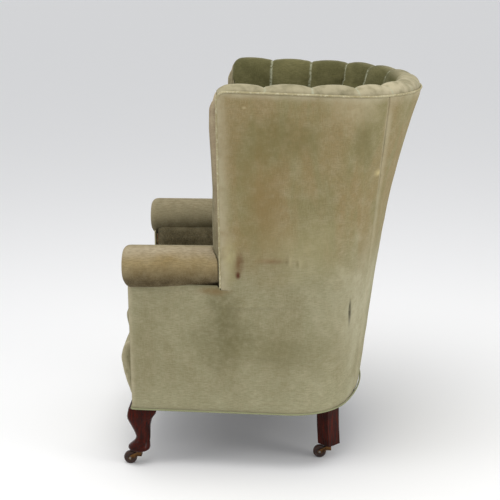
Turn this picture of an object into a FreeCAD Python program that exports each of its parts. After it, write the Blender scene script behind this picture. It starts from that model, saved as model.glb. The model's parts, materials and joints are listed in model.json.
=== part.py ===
import FreeCAD, Part
import math
import os
from FreeCAD import Placement, Rotation, Vector

# Wing armchair with a channelled barrel back, loose cushion, scroll arms and four castors.
# The chair faces -Y, +X is the sitter's left and Z = 0 is the floor. Sizes are millimetres.

doc = FreeCAD.newDocument("wing_armchair")
sheet = doc.addObject("Spreadsheet::Sheet", "sizes")

SIZES = [
    ("foot_height", 42, "underside of the legs above the floor"),
    ("hem_height", 166, "bottom edge of the cover and of the seat rails"),
    ("deck_height", 345, "top of the seat platform"),
    ("arm_height", 638, "crest of the arm rolls"),
    ("piping_front_height", 1058, "top piping at the wing's front edge"),
    ("piping_rear_height", 1026, "top piping at the middle of the back"),
    ("crest_front_rise", 10, "channel valley above the piping at the wing"),
    ("crest_rear_rise", 26, "channel valley above the piping at the back"),
    ("front_plane", 384, "front face of the arm facings, in front of the middle"),
    ("wing_front", 128, "where the wing's channels start, in front of the middle"),
    ("wing_nose", 22, "how far the padded wing edge stands in front of that"),
    ("hem_side", 352, "half width of the widest part of the hem"),
    ("top_side", 372, "half width of the top at the shoulder of the barrel"),
    ("hem_front_side", 318, "half width of the hem at the front"),
    ("arm_front_side", 330, "half width of the outside arm panel under the roll, at the front"),
    ("hem_shoulder", 60, "where the side starts to turn at the hem, behind the middle"),
    ("top_shoulder", 170, "where the side starts to turn at the top, behind the middle"),
    ("hem_rear", 255.5, "rear of the hem, behind the middle"),
    ("back_rake", 104, "steady backward slope of the back over its height"),
    ("back_flare", 62, "extra backward sweep towards the top"),
    ("top_splay", 7, "angle by which the wings open towards the front, degrees"),
    ("hem_turn", 68, "angle where the shoulder arc meets the rear arc at the hem"),
    ("top_turn", 50, "the same at the top"),
    ("cover_thickness", 5, "cover, wadding and hessian of an outside panel"),
    ("frame_thickness", 31, "thickness of the barrel's frame"),
    ("webbing_thickness", 1.5, "webbing and hessian"),
    ("wall_top", 78, "whole wall at the top, over a channel's crown"),
    ("wall_seat", 94, "whole wall at the seat, over a channel's crown"),
    ("channel_depth", 14, "crown of a channel above its valleys"),
    ("channel_count", 13, "channels round the inside"),
    ("crest_crown", 9, "crown of a crest segment above its valleys"),
    ("arm_blend", 26, "extra stuffing where the wing runs into the arm"),
    ("arm_blend_height", 150, "how far above the arm that stuffing fades out"),
    ("seat_blend_height", 355, "how far above the deck the wall has thinned to its top thickness"),
    ("seam_hem_side", 150, "rear seams from the middle, at the hem"),
    ("seam_top_side", 298, "the same at the top"),
    ("join_drop", 14, "where the channels turn into the crest, below the lower end of the piping"),
    ("roll_radius", 57, "radius of the arm roll"),
    ("roll_side", 312, "middle of the arm roll from the middle of the chair"),
    ("roll_overhang", 14, "front of the roll beyond the facing"),
    ("roll_rounding", 22, "rounding of the roll's domed front"),
    ("inside_arm_side", 257, "inner face of the inside arm"),
    ("inside_arm_thickness", 21, "padding of the inside arm"),
    ("inside_arm_bow", 3, "bow of the inside arm between its top and bottom"),
    ("rail_height", 75, "height of the seat rails"),
    ("rail_thickness", 30, "thickness of the seat rails"),
    ("post_width", 34, "width of the arm posts"),
    ("post_depth", 45, "depth of the arm posts and wing posts"),
    ("arm_rail_width", 38, "width of the arm rails"),
    ("arm_rail_height", 30, "height of the arm rails"),
    ("top_rail_height", 27, "height of the top and stuffing rails"),
    ("border_bulge", 33, "bulge of the front border at its ends"),
    ("border_bow", 4.5, "further bow of the border at its middle"),
    ("cushion_height", 118, "height of the cushion's border"),
    ("cushion_crown", 12, "crown of the cushion above its border"),
    ("cushion_pull", 5, "how far the cushion's sides pull in between its corners"),
    ("cushion_front", 413, "front of the cushion, in front of the middle"),
    ("cushion_corner", 34, "rounding of the cushion's front corners in plan"),
    ("cushion_bow", 8, "bow of the cushion's front edge"),
    ("platform_thickness", 27, "seat platform"),
    ("spring_radius", 38, "end turns of a seat spring"),
    ("spring_waist", 24, "waist of a seat spring"),
    ("spring_wire", 4, "wall that stands for the spring wire"),
    ("spring_pitch_x", 138, "springs apart, sideways"),
    ("spring_pitch_y", 140, "springs apart, front to back"),
    ("strap_width", 50, "width of a webbing strap"),
    ("strap_gap_x", 42, "between straps that run front to back"),
    ("strap_gap_y", 70, "between straps that run across"),
    ("block_leg", 60, "glue blocks along each rail"),
    ("block_drop", 7, "glue blocks above the hem and below the rail's top"),
    ("piping_radius", 2.5, "radius of the piping cord"),
    ("front_leg_x", 303, "front feet from the middle, sideways"),
    ("front_leg_y", 369, "front feet in front of the middle"),
    ("front_leg_top", 80, "top block of a front leg"),
    ("front_leg_ankle", 40, "ankle of a front leg"),
    ("front_leg_pad", 61, "pad foot"),
    ("front_leg_lean_x", 27, "foot of a front leg outside its top block"),
    ("front_leg_lean_y", 13, "foot of a front leg in front of its top block"),
    ("rear_leg_x", 246, "rear legs from the middle, sideways"),
    ("rear_leg_y", 164, "rear legs behind the middle"),
    ("rear_leg_square", 44, "section of a rear leg"),
    ("rear_leg_sweep", 4, "backward sweep of a rear foot"),
    ("wheel_radius", 18.5, "castor wheel"),
    ("wheel_width", 15, "castor wheel"),
    ("castor_trail", 26, "wheel axle behind the pivot"),
    ("plate_radius", 18, "castor plate"),
    ("plate_thickness", 3, "castor plate"),
    ("pivot_radius", 3, "pivot pin"),
    ("boss_height", 15, "horn's boss, with the collar above it"),
    ("peen_thickness", 2, "peened end of the pivot pin"),
    ("axle_radius", 2.5, "wheel axle"),
    ("cheek", 2.6, "cheek of the horn"),
    ("horn_boss", 6.7, "half depth of the horn's boss"),
    ("screw_circle", 13, "radius of the screw circle on a plate"),
    ("screw_radius", 1.5, "shank of a castor screw"),
    ("screw_length", 14, "shank of a castor screw"),
    ("screw_head", 1.1, "head of a castor screw"),
    ("running", 0.05, "radial clearance of pins and axles"),
    ("seating", 0.3, "clearance between pieces laid against each other"),
    ("wheel_gap", 0.6, "clearance beside the wheel"),
]
for row, (alias, value, meaning) in enumerate(SIZES, start=1):
    sheet.set(f"A{row}", alias)
    sheet.set(f"B{row}", str(value))
    sheet.set(f"C{row}", meaning)
    sheet.setAlias(f"B{row}", alias)
doc.recompute()


def size(alias):
    return float(getattr(sheet, alias))


SUBPARTS = []


def keep(piece, name):
    piece.Label = name
    SUBPARTS.append(piece)
    return piece


def shaped(name, shape):
    """Part::Feature for a form that no sketch feature or primitive gives."""
    piece = doc.addObject("Part::Feature", name)
    piece.Shape = shape
    return keep(piece, name)


# Heights and planes worked out from the driving sizes

hem = size("hem_height")
deck = size("deck_height")
seating = size("seating")
cover = size("cover_thickness")
frame_in = cover + seating
frame_out = frame_in + size("frame_thickness")
webbing_out = frame_out + seating + size("webbing_thickness")
channel_back = webbing_out + seating
front_y = -size("front_plane")
wing_y = -size("wing_front")
rail_top = hem + size("rail_height")
roll_axis = size("arm_height") - size("roll_radius")
roll_bottom = roll_axis - size("roll_radius")
panel_split = roll_bottom
rear_y_top = size("hem_rear") + size("back_rake") + size("back_flare")
join_height = min(size("piping_front_height"), size("piping_rear_height")) - size("join_drop")
mirror_x = Vector(1, 0, 0)
origin = Vector(0, 0, 0)


def mirrored(shape):
    return shape.mirror(origin, mirror_x)


def piping_plane(y):
    """Height of the top piping, which falls towards the back."""
    front = size("piping_front_height")
    fall = (front - size("piping_rear_height")) / (rear_y_top - wing_y)
    return front - fall * (y - wing_y)


def crest_valley(y):
    share = (y - wing_y) / (rear_y_top - wing_y)
    rise = size("crest_front_rise") + share * (size("crest_rear_rise") - size("crest_front_rise"))
    return piping_plane(y) + rise


class Plan:
    """Outline of the barrel at one height: straight side, shoulder arc, rear arc."""

    def __init__(self, z):
        share = (z - hem) / (size("piping_rear_height") - hem)
        swept = max(share, 0.0) ** 3.3
        self.side = size("hem_side") + share * (size("top_side") - size("hem_side"))
        self.shoulder = size("hem_shoulder") + share * (size("top_shoulder") - size("hem_shoulder"))
        self.rear = size("hem_rear") + share * size("back_rake") + swept * size("back_flare")
        run = size("hem_shoulder") - front_y
        hem_splay = -math.atan2(size("hem_side") - size("hem_front_side"), run)
        self.splay = hem_splay + share * (math.radians(size("top_splay")) - hem_splay)
        self.turn = math.radians(size("hem_turn") + share * (size("top_turn") - size("hem_turn")))
        depth = self.rear - self.shoulder
        spread = math.cos(self.turn) + math.sin(self.turn) - 1
        shift = (self.side - depth) / spread
        self.shoulder_radius = self.side - shift * math.cos(self.turn)
        self.rear_radius = self.shoulder_radius + shift
        self.shoulder_x = shift * math.cos(self.turn)
        self.rear_centre = self.rear - self.rear_radius
        drift = max(share, 0.0) ** 1.6
        self.seam = size("seam_hem_side") + drift * (size("seam_top_side") - size("seam_hem_side"))

    def on_shoulder(self, angle, inset):
        radius = self.shoulder_radius - inset
        return (self.shoulder_x + radius * math.cos(angle), self.shoulder + radius * math.sin(angle))

    def on_rear(self, angle, inset):
        radius = self.rear_radius - inset
        return (radius * math.cos(angle), self.rear_centre + radius * math.sin(angle))

    def on_side(self, y, inset):
        """Point of the straight side at this y, the inset measured square to the side."""
        x0, y0 = self.on_shoulder(self.splay, inset)
        return (x0 + (y0 - y) * math.tan(self.splay), y)

    def straight(self):
        return (self.on_shoulder(self.splay, 0)[1] - wing_y) / math.cos(self.splay)

    def half_length(self):
        shoulder = self.shoulder_radius * (self.turn - self.splay)
        return self.straight() + shoulder + self.rear_radius * (math.pi / 2 - self.turn)

    def at(self, share, inset):
        """Point and outward normal at a share of the way round, 0 at +X's wing, 2 at -X's.

        Both ends lie in the plane where the channels start."""
        if share <= 0:
            return self.on_side(wing_y, inset), (1 / math.cos(self.splay), 0)
        if share > 1:
            (x, y), (nx, ny) = self.at(2 - share, inset)
            return (-x, y), (-nx, ny)
        along = share * self.half_length()
        if along <= self.straight():
            reach = self.straight() - along
            x0, y0 = self.on_shoulder(self.splay, inset)
            x = x0 + reach * math.sin(self.splay)
            y = y0 - reach * math.cos(self.splay)
            return (x, y), (math.cos(self.splay), math.sin(self.splay))
        along -= self.straight()
        turned = self.splay + along / self.shoulder_radius
        if turned <= self.turn:
            return self.on_shoulder(turned, inset), (math.cos(turned), math.sin(turned))
        along -= self.shoulder_radius * (self.turn - self.splay)
        angle = self.turn + along / self.rear_radius
        return self.on_rear(angle, inset), (math.cos(angle), math.sin(angle))

    def seam_angle(self):
        return math.acos(self.seam / self.rear_radius)


def level(z):
    """A level section: the same height at every y."""
    return lambda y: z


def settle(locate, height):
    """Point of the wall where it meets a sloping plane: the plan depends on the height."""
    z = height(wing_y)
    for _ in range(12):
        point = locate(Plan(z))
        z = height(point[1])
    return Vector(point[0], point[1], z)


def curve(first, middle, last):
    """Arc through three points, or a line where they lie in line."""
    bow = (middle - first).cross(last - first).Length
    if bow < 1e-4 * (last - first).Length ** 2:
        return Part.LineSegment(first, last).toShape()
    return Part.Arc(first, middle, last).toShape()


def closed_wire(edges):
    return Part.Wire(Part.__sortEdges__(edges))


def loft(wires, ruled=False):
    return Part.makeLoft(wires, True, ruled)


def spread_levels(low, high, count):
    return [low + (high - low) * step / (count - 1) for step in range(count)]


# Seat plan: what follows the hem's outline inside the rails


def seat_outline(z, inset, front, front_half=None):
    """Closed wire: straight front, then the barrel at this inset.

    With front_half the sides run straight back from there and step out to the wall at the wing."""
    plan = Plan(z)
    start = Vector(*plan.on_shoulder(plan.splay, inset), z)
    middle = Vector(*plan.on_shoulder((plan.splay + plan.turn) / 2, inset), z)
    joint = Vector(*plan.on_shoulder(plan.turn, inset), z)
    if front_half is None:
        tip = Vector(plan.on_side(front, inset)[0], front, z)
        points = [tip, start]
    else:
        wall = Vector(*plan.on_side(wing_y, inset), z)
        tip = Vector(front_half, front, z)
        points = [tip, Vector(front_half, wall.y, z), wall, start]
    edges = [Part.LineSegment(a, b).toShape() for a, b in zip(points, points[1:])]
    edges.append(curve(start, middle, joint))
    edges += [mirrored(edge) for edge in edges]
    edges.append(curve(joint, Vector(0, plan.rear - inset, z), Vector(-joint.x, joint.y, z)))
    edges.append(Part.LineSegment(tip, Vector(-tip.x, tip.y, z)).toShape())
    return closed_wire(edges)


def side_edges(inset, height, front, seam):
    """Edges from a front point on the +X side round to the rear seam, at one height plane."""
    start = settle(lambda plan: plan.on_side(front, inset), height)
    bend = settle(lambda plan: plan.on_shoulder(plan.splay, inset), height)
    middle = settle(lambda plan: plan.on_shoulder((plan.splay + plan.turn) / 2, inset), height)
    joint = settle(lambda plan: plan.on_shoulder(plan.turn, inset), height)
    half = settle(lambda plan: plan.on_rear((plan.turn + plan.seam_angle()) / 2, inset), height)
    end = settle(lambda plan: plan.on_rear(plan.seam_angle() - seam / plan.rear_radius, inset), height)
    edges = [Part.LineSegment(start, bend).toShape()]
    edges.append(curve(bend, middle, joint))
    edges.append(curve(joint, half, end))
    return start, end, edges


def side_section(height, front, outer, inner, gap):
    start, end, edges = side_edges(outer, height, front, gap)
    start_in, end_in, inside = side_edges(inner, height, front, gap)
    ends = [Part.LineSegment(start, start_in).toShape(), Part.LineSegment(end, end_in).toShape()]
    return closed_wire(edges + inside + ends)


def arm_section(z, outer, inner, gap):
    """Side section that runs on, past the wing, to the front of the arm."""
    share = (z - hem) / (panel_split - hem)
    front_x = size("hem_front_side") + share * (size("arm_front_side") - size("hem_front_side"))
    start, end, edges = side_edges(outer, level(z), wing_y, gap)
    start_in, end_in, inside = side_edges(inner, level(z), wing_y, gap)
    tip = Vector(front_x - outer, front_y, z)
    tip_in = Vector(front_x - inner, front_y, z)
    edges += inside
    pairs = ((tip, start), (tip_in, start_in), (tip, tip_in), (end, end_in))
    edges += [Part.LineSegment(a, b).toShape() for a, b in pairs]
    return closed_wire(edges)


def rear_section(height, outer, inner, gap):
    """Between the two rear seams."""
    corners = []
    edges = []
    for inset in (outer, inner):
        right = settle(lambda plan: plan.on_rear(plan.seam_angle() + gap / plan.rear_radius, inset), height)
        middle = settle(lambda plan: plan.on_rear(math.pi / 2, inset), height)
        left = Vector(-right.x, right.y, right.z)
        edges.append(curve(right, middle, left))
        corners.append((right, left))
    edges.append(Part.LineSegment(corners[0][0], corners[1][0]).toShape())
    edges.append(Part.LineSegment(corners[0][1], corners[1][1]).toShape())
    return closed_wire(edges)


def patch_section(z, start, end, outer, inner):
    """Four-sided section of the wall between two shares of the way round."""
    plan = Plan(z)
    middle = (start + end) / 2
    rows = []
    for inset in (outer, inner):
        rows.append([Vector(*plan.at(share, inset)[0], z) for share in (start, middle, end)])
    edges = [curve(*rows[0]), curve(*rows[1])]
    edges.append(Part.LineSegment(rows[0][0], rows[1][0]).toShape())
    edges.append(Part.LineSegment(rows[0][2], rows[1][2]).toShape())
    return closed_wire(edges)


def wall_breaks(plan, start, end):
    """Shares where the wall's curvature changes, between start and end."""
    bend = plan.straight() / plan.half_length()
    turn = bend + plan.shoulder_radius * (plan.turn - plan.splay) / plan.half_length()
    inside = [share for share in (bend, turn, 2 - turn, 2 - bend) if start < share < end]
    return [start] + inside + [end]


def run_section(z, start, end, outer, inner):
    """Section of the wall that keeps its straight and bent stretches."""
    plan = Plan(z)
    edges = []
    ends = []
    for inset in (outer, inner):
        breaks = wall_breaks(plan, start, end)
        for first, last in zip(breaks, breaks[1:]):
            shares = (first, (first + last) / 2, last)
            edges.append(curve(*[Vector(*plan.at(share, inset)[0], z) for share in shares]))
        ends.append([Vector(*plan.at(share, inset)[0], z) for share in (start, end)])
    edges.append(Part.LineSegment(ends[0][0], ends[1][0]).toShape())
    edges.append(Part.LineSegment(ends[0][1], ends[1][1]).toShape())
    return closed_wire(edges)


# Legs


def new_body(name):
    body = doc.addObject("PartDesign::Body", name)
    return keep(body, name)


def origin_plane(body, role):
    for feature in body.Origin.OriginFeatures:
        if feature.Role == role:
            return feature
    raise ValueError(role)


def new_sketch(body, name, role, offset=None):
    sketch = body.newObject("Sketcher::SketchObject", name)
    sketch.AttachmentSupport = [(origin_plane(body, role), "")]
    sketch.MapMode = "FlatFace"
    if offset is not None:
        sketch.AttachmentOffset = Placement(Vector(0, 0, offset), Rotation())
    return sketch


def place(body, x, y, z):
    """Bind a body's position to expressions on the sheet."""
    body.setExpression("Placement.Base.x", x)
    body.setExpression("Placement.Base.y", y)
    body.setExpression("Placement.Base.z", z)


def rounded_square(sketch, x, y, across, along, radius):
    """Eight-edged outline: four sides and four quarter arcs."""
    dx = across / 2 - radius
    dy = along / 2 - radius
    flat = Vector(0, 0, 1)
    for sx, sy, start in ((1, 1, 0), (-1, 1, 90), (-1, -1, 180), (1, -1, 270)):
        centre = Vector(x + sx * dx, y + sy * dy, 0)
        circle = Part.Circle(centre, flat, radius)
        sketch.addGeometry(Part.ArcOfCircle(circle, math.radians(start), math.radians(start + 90)))
    far_x = dx + radius
    far_y = dy + radius
    for first, second in (((dx, far_y), (-dx, far_y)), ((-far_x, dy), (-far_x, -dy)),
                          ((-dx, -far_y), (dx, -far_y)), ((far_x, -dy), (far_x, dy))):
        centre = Vector(x, y, 0)
        sketch.addGeometry(Part.LineSegment(centre + Vector(*first, 0), centre + Vector(*second, 0)))


def body_loft(body, sketches):
    feature = body.newObject("PartDesign::AdditiveLoft", body.Name + "_loft")
    feature.Profile = sketches[0]
    feature.Sections = sketches[1:]
    feature.Ruled = True
    return feature


def between(before, first, second, after, part):
    """Value on a smooth curve through first and second, at this part of the way."""
    along = (second - before) / 2
    onward = (after - first) / 2
    rest = 3 * (second - first) - 2 * along - onward
    return first + along * part + rest * part ** 2 + (along + onward - 2 * (second - first)) * part ** 3


def eased(rows, parts):
    """The same rows with smooth ones between them."""
    padded = [rows[0]] + rows + [rows[-1]]
    finer = []
    for number in range(len(rows) - 1):
        group = padded[number:number + 4]
        for step in range(parts):
            finer.append([between(*values, step / parts) for values in zip(*group)])
    return finer + [list(rows[-1])]


def screw_angles():
    return [math.radians(90 + 120 * step) for step in range(3)]


def screw_pilots(body):
    """Pilot holes for the plate's screws, up into the foot."""
    doc.recompute()
    sketch = new_sketch(body, body.Name + "_pilots", "XY_Plane")
    for angle in screw_angles():
        reach = size("screw_circle")
        centre = Vector(reach * math.cos(angle), reach * math.sin(angle), 0)
        sketch.addGeometry(Part.Circle(centre, Vector(0, 0, 1), size("screw_radius")))
    pocket = body.newObject("PartDesign::Pocket", body.Name + "_pilot_holes")
    pocket.Profile = sketch
    pocket.Reversed = True
    pocket.setExpression("Length", "sizes.screw_length")
    body.Tip = pocket


leg_height = hem - size("foot_height")


def make_front_leg(name, hand):
    """Cabriole leg: top block, knee, ankle and pad foot, swept out to its corner."""
    body = new_body(name)
    top = size("front_leg_top")
    ankle = size("front_leg_ankle")
    pad = size("front_leg_pad")
    in_x = -size("front_leg_lean_x") * hand
    in_y = size("front_leg_lean_y")
    stations = [
        (0.00, 0.00, 0.00, pad * 0.80, 0.45),
        (0.035, 0.00, 0.00, pad * 0.97, 0.47),
        (0.10, 0.00, 0.00, pad, 0.48),
        (0.19, 0.10, 0.50, pad * 0.76, 0.48),
        (0.31, 0.22, 0.85, ankle, 0.46),
        (0.54, 0.40, 0.40, ankle * 1.30, 0.40),
        (0.74, 0.62, 0.20, top * 0.87, 0.28),
        (0.88, 0.88, 0.70, top * 0.99, 0.12),
        (1.00, 1.00, 1.00, top, 0.08),
    ]
    sketches = []
    for number, (share, lean_x, lean_y, across, rounding) in enumerate(eased(stations, 2)):
        sketch = new_sketch(body, f"{name}_section_{number}", "XY_Plane", share * leg_height)
        rounded_square(sketch, in_x * lean_x, in_y * lean_y, across, across, across * min(rounding, 0.48))
        sketches.append(sketch)
    body_loft(body, sketches)
    screw_pilots(body)
    place(body, f"{hand} * sizes.front_leg_x", "-sizes.front_leg_y", "sizes.foot_height")
    return body


def make_rear_leg(name, hand):
    """Square leg set corner-on, swept back a little towards the foot."""
    body = new_body(name)
    across = size("rear_leg_square")
    sweep = size("rear_leg_sweep")
    sketches = []
    for number, (share, back) in enumerate(((0.0, 1.0), (0.45, 0.25), (1.0, 0.0))):
        sketch = new_sketch(body, f"{name}_section_{number}", "XY_Plane", share * leg_height)
        half = across / math.sqrt(2)
        shift = sweep * (back - 1)
        polygon(sketch, [(half, shift), (0, half + shift), (-half, shift), (0, shift - half)])
        sketches.append(sketch)
    body_loft(body, sketches)
    screw_pilots(body)
    place(body, f"{hand} * sizes.rear_leg_x", "sizes.rear_leg_y", "sizes.foot_height")
    return body


# Castors: each is made about its own pivot, with Z = 0 on the floor


def revolve(body, sketch, axis):
    feature = body.newObject("PartDesign::Revolution", body.Name + "_turned")
    feature.Profile = sketch
    feature.ReferenceAxis = (sketch, [axis])
    feature.Angle = 360
    return feature


def polygon(sketch, points):
    for first, second in zip(points, points[1:] + points[:1]):
        sketch.addGeometry(Part.LineSegment(Vector(*first, 0), Vector(*second, 0)))


plate_bottom = size("foot_height") - size("plate_thickness")
collar_bottom = plate_bottom - size("screw_head") - seating
boss_bottom = plate_bottom - size("boss_height")


def make_plate(name, x, y):
    """Round plate with a collar that keeps the horn off the screws, and a pin peened below."""
    body = new_body(name)
    sketch = new_sketch(body, name + "_profile", "XZ_Plane")
    pin = size("pivot_radius")
    foot = size("foot_height")
    peen_top = boss_bottom - seating
    peen_bottom = peen_top - size("peen_thickness")
    polygon(sketch, [(0, peen_bottom), (pin * 1.4, peen_bottom), (pin * 1.4, peen_top), (pin, peen_top),
                     (pin, collar_bottom), (pin * 2, collar_bottom), (pin * 2, plate_bottom),
                     (size("plate_radius"), plate_bottom), (size("plate_radius"), foot), (0, foot)])
    revolve(body, sketch, "V_Axis")
    doc.recompute()
    holes = new_sketch(body, name + "_screw_circle", "XY_Plane", foot)
    for angle in screw_angles():
        reach = size("screw_circle")
        centre = Vector(reach * math.cos(angle), reach * math.sin(angle), 0)
        holes.addGeometry(Part.Circle(centre, Vector(0, 0, 1), size("screw_radius") + size("running")))
    pocket = body.newObject("PartDesign::Pocket", name + "_screw_holes")
    pocket.Profile = holes
    pocket.setExpression("Length", "2 * sizes.plate_thickness")
    body.Tip = pocket
    place(body, x, y, "0")
    return body


def make_horn(name, x, y):
    """Brass fork: boss round the pivot pin and two cheeks down to the axle."""
    body = new_body(name)
    trail = size("castor_trail")
    axle = size("wheel_radius")
    boss = size("horn_boss")
    top = collar_bottom - seating
    eye = size("axle_radius") + 3.5
    side = new_sketch(body, name + "_side", "YZ_Plane")
    rear_low = (boss, boss_bottom)
    front_low = (-boss - 0.2, boss_bottom)
    rear_high = (boss, top)
    front_high = (-boss * 0.5, top)
    eye_top = Vector(-trail - eye * 0.35, axle + eye * 0.937, 0)
    eye_low = Vector(-trail + eye * 0.35, axle - eye * 0.937, 0)
    eye_front = Vector(-trail - eye, axle, 0)
    side.addGeometry(Part.LineSegment(Vector(*rear_low, 0), Vector(*rear_high, 0)))
    side.addGeometry(Part.LineSegment(Vector(*rear_high, 0), Vector(*front_high, 0)))
    side.addGeometry(Part.LineSegment(Vector(*front_high, 0), eye_top))
    side.addGeometry(Part.Arc(eye_top, eye_front, eye_low))
    side.addGeometry(Part.LineSegment(eye_low, Vector(*front_low, 0)))
    side.addGeometry(Part.LineSegment(Vector(*front_low, 0), Vector(*rear_low, 0)))
    pad = body.newObject("PartDesign::Pad", name + "_pad")
    pad.Profile = side
    pad.Midplane = True
    pad.setExpression("Length", "sizes.wheel_width + 2 * sizes.wheel_gap + 2 * sizes.cheek")
    doc.recompute()
    slot = new_sketch(body, name + "_slot", "XY_Plane")
    half = size("wheel_width") / 2 + size("wheel_gap")
    rear = -trail + axle + size("wheel_gap")
    far = -trail - 2 * eye
    polygon(slot, [(-half, far), (half, far), (half, rear), (-half, rear)])
    cut = body.newObject("PartDesign::Pocket", name + "_wheel_slot")
    cut.Profile = slot
    cut.Reversed = True
    cut.Length = size("foot_height")
    doc.recompute()
    bore = new_sketch(body, name + "_pivot_circle", "XY_Plane")
    bore.addGeometry(Part.Circle(Vector(0, 0, 0), Vector(0, 0, 1), size("pivot_radius") + size("running")))
    pivot = body.newObject("PartDesign::Pocket", name + "_pivot_bore")
    pivot.Profile = bore
    pivot.Reversed = True
    pivot.Length = size("foot_height")
    doc.recompute()
    eyes = new_sketch(body, name + "_axle_circle", "YZ_Plane")
    eyes.addGeometry(Part.Circle(Vector(-trail, axle, 0), Vector(0, 0, 1), size("axle_radius")))
    through = body.newObject("PartDesign::Pocket", name + "_axle_bore")
    through.Profile = eyes
    through.Midplane = True
    through.Length = 4 * size("wheel_width")
    body.Tip = through
    place(body, x, y, "0")
    return body


def make_axle(name, x, y):
    """Axle with a riveted head outside each cheek."""
    body = new_body(name)
    half = size("wheel_width") / 2 + size("wheel_gap") + size("cheek")
    thin = size("axle_radius")
    head = thin * 1.5
    sketch = new_sketch(body, name + "_profile", "XY_Plane")
    polygon(sketch, [(-half - 1.2, 0), (-half - 1.2, head * 0.7), (-half - 0.6, head), (-half, head),
                     (-half, thin), (half, thin), (half, head), (half + 0.6, head),
                     (half + 1.2, head * 0.7), (half + 1.2, 0)])
    revolve(body, sketch, "H_Axis")
    place(body, x, f"{y} - sizes.castor_trail", "sizes.wheel_radius")
    return body


def make_wheel(name, x, y):
    """Turned wheel with an eased tread and dished sides."""
    body = new_body(name)
    half = size("wheel_width") / 2
    rim = size("wheel_radius")
    bore = size("axle_radius") + size("running")
    hub = bore + 3
    round_off = 4
    dish = 1.5
    sketch = new_sketch(body, name + "_profile", "XY_Plane")
    slant = round_off * (1 - math.sqrt(0.5))
    right = [(half, bore), (half, hub), (half - dish, hub + 1.5), (half - dish, rim - round_off - 2),
             (half, rim - round_off), (half - slant, rim - slant), (half - round_off, rim)]
    polygon(sketch, right + [(-x_at, y_at) for x_at, y_at in reversed(right)])
    revolve(body, sketch, "H_Axis")
    place(body, x, f"{y} - sizes.castor_trail", "sizes.wheel_radius")
    return body


CORNERS = [
    ("front_left", 1, "sizes.front_leg_x", "-sizes.front_leg_y"),
    ("front_right", -1, "-sizes.front_leg_x", "-sizes.front_leg_y"),
    ("rear_left", 1, "sizes.rear_leg_x", "sizes.rear_leg_y"),
    ("rear_right", -1, "-sizes.rear_leg_x", "sizes.rear_leg_y"),
]
make_front_leg("front_leg_left", 1)
make_front_leg("front_leg_right", -1)
make_rear_leg("rear_leg_left", 1)
make_rear_leg("rear_leg_right", -1)
for corner, hand, x, y in CORNERS:
    make_plate("castor_plate_" + corner, x, y)
    make_horn("castor_horn_" + corner, x, y)
    make_axle("castor_axle_" + corner, x, y)
    make_wheel("castor_wheel_" + corner, x, y)


def make_castor_screws():
    """Three round-headed screws in each plate."""
    screws = []
    reach = size("screw_circle")
    radius = size("screw_radius")
    head = size("screw_head")
    length = size("plate_thickness") + size("screw_length") - 2
    for corner, hand, _, _ in CORNERS:
        front = corner.startswith("front")
        x = hand * size("front_leg_x" if front else "rear_leg_x")
        y = -size("front_leg_y") if front else size("rear_leg_y")
        for angle in screw_angles():
            spot = Vector(x + reach * math.cos(angle), y + reach * math.sin(angle), plate_bottom)
            shank = Part.makeCylinder(radius, length, spot)
            cap = Part.makeCone(radius, 2 * radius, head, spot - Vector(0, 0, head))
            screws.append(shank.fuse(cap).removeSplitter())
    return shaped("castor_screws", Part.makeCompound(screws))


make_castor_screws()

# Seat frame


def block(name, length, width, height, x, y, z):
    """Part::Box with every size and its corner bound to the sheet."""
    box = doc.addObject("Part::Box", name)
    box.setExpression("Length", length)
    box.setExpression("Width", width)
    box.setExpression("Height", height)
    box.setExpression("Placement.Base.x", x)
    box.setExpression("Placement.Base.y", y)
    box.setExpression("Placement.Base.z", z)
    return keep(box, name)


facing_back = "-sizes.front_plane + sizes.cover_thickness + sizes.seating"
rail_front = front_y + cover + seating
rail_back = rail_front + size("rail_thickness")
front_rail_half = "(sizes.hem_front_side - sizes.cover_thickness - 2 * sizes.seating)"
block("front_seat_rail", f"2 * {front_rail_half}", "sizes.rail_thickness", "sizes.rail_height",
      f"-{front_rail_half}", facing_back, "sizes.hem_height")


def side_rail_inner(y, inset):
    plan = Plan(hem)
    return Vector(*plan.on_side(y, inset), hem)


def prism(points_or_wire, height):
    wire = points_or_wire
    if isinstance(points_or_wire, list):
        wire = Part.makePolygon(points_or_wire + points_or_wire[:1])
    return Part.Face(wire).extrude(Vector(0, 0, height))


rail_in = frame_in + seating
rail_inner = rail_in + size("rail_thickness")


def make_side_rail():
    plan = Plan(hem)
    outer_end = Vector(*plan.on_shoulder(plan.splay, rail_in), hem)
    inner_end = Vector(*plan.on_shoulder(plan.splay, rail_inner), hem)
    outer_front = side_rail_inner(rail_back, rail_in)
    inner_front = side_rail_inner(rail_back, rail_inner)
    return prism([outer_front, outer_end, inner_end, inner_front], size("rail_height"))


side_rail = make_side_rail()
shaped("side_seat_rail_left", side_rail)
shaped("side_seat_rail_right", mirrored(side_rail))


def make_back_rail():
    """Laminated rail bent round both shoulders and the rear."""
    plan = Plan(hem)
    bend = plan.straight() / plan.half_length()
    return prism(run_section(hem, bend, 2 - bend, rail_in, rail_inner), size("rail_height"))


shaped("back_seat_rail", make_back_rail())


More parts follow.
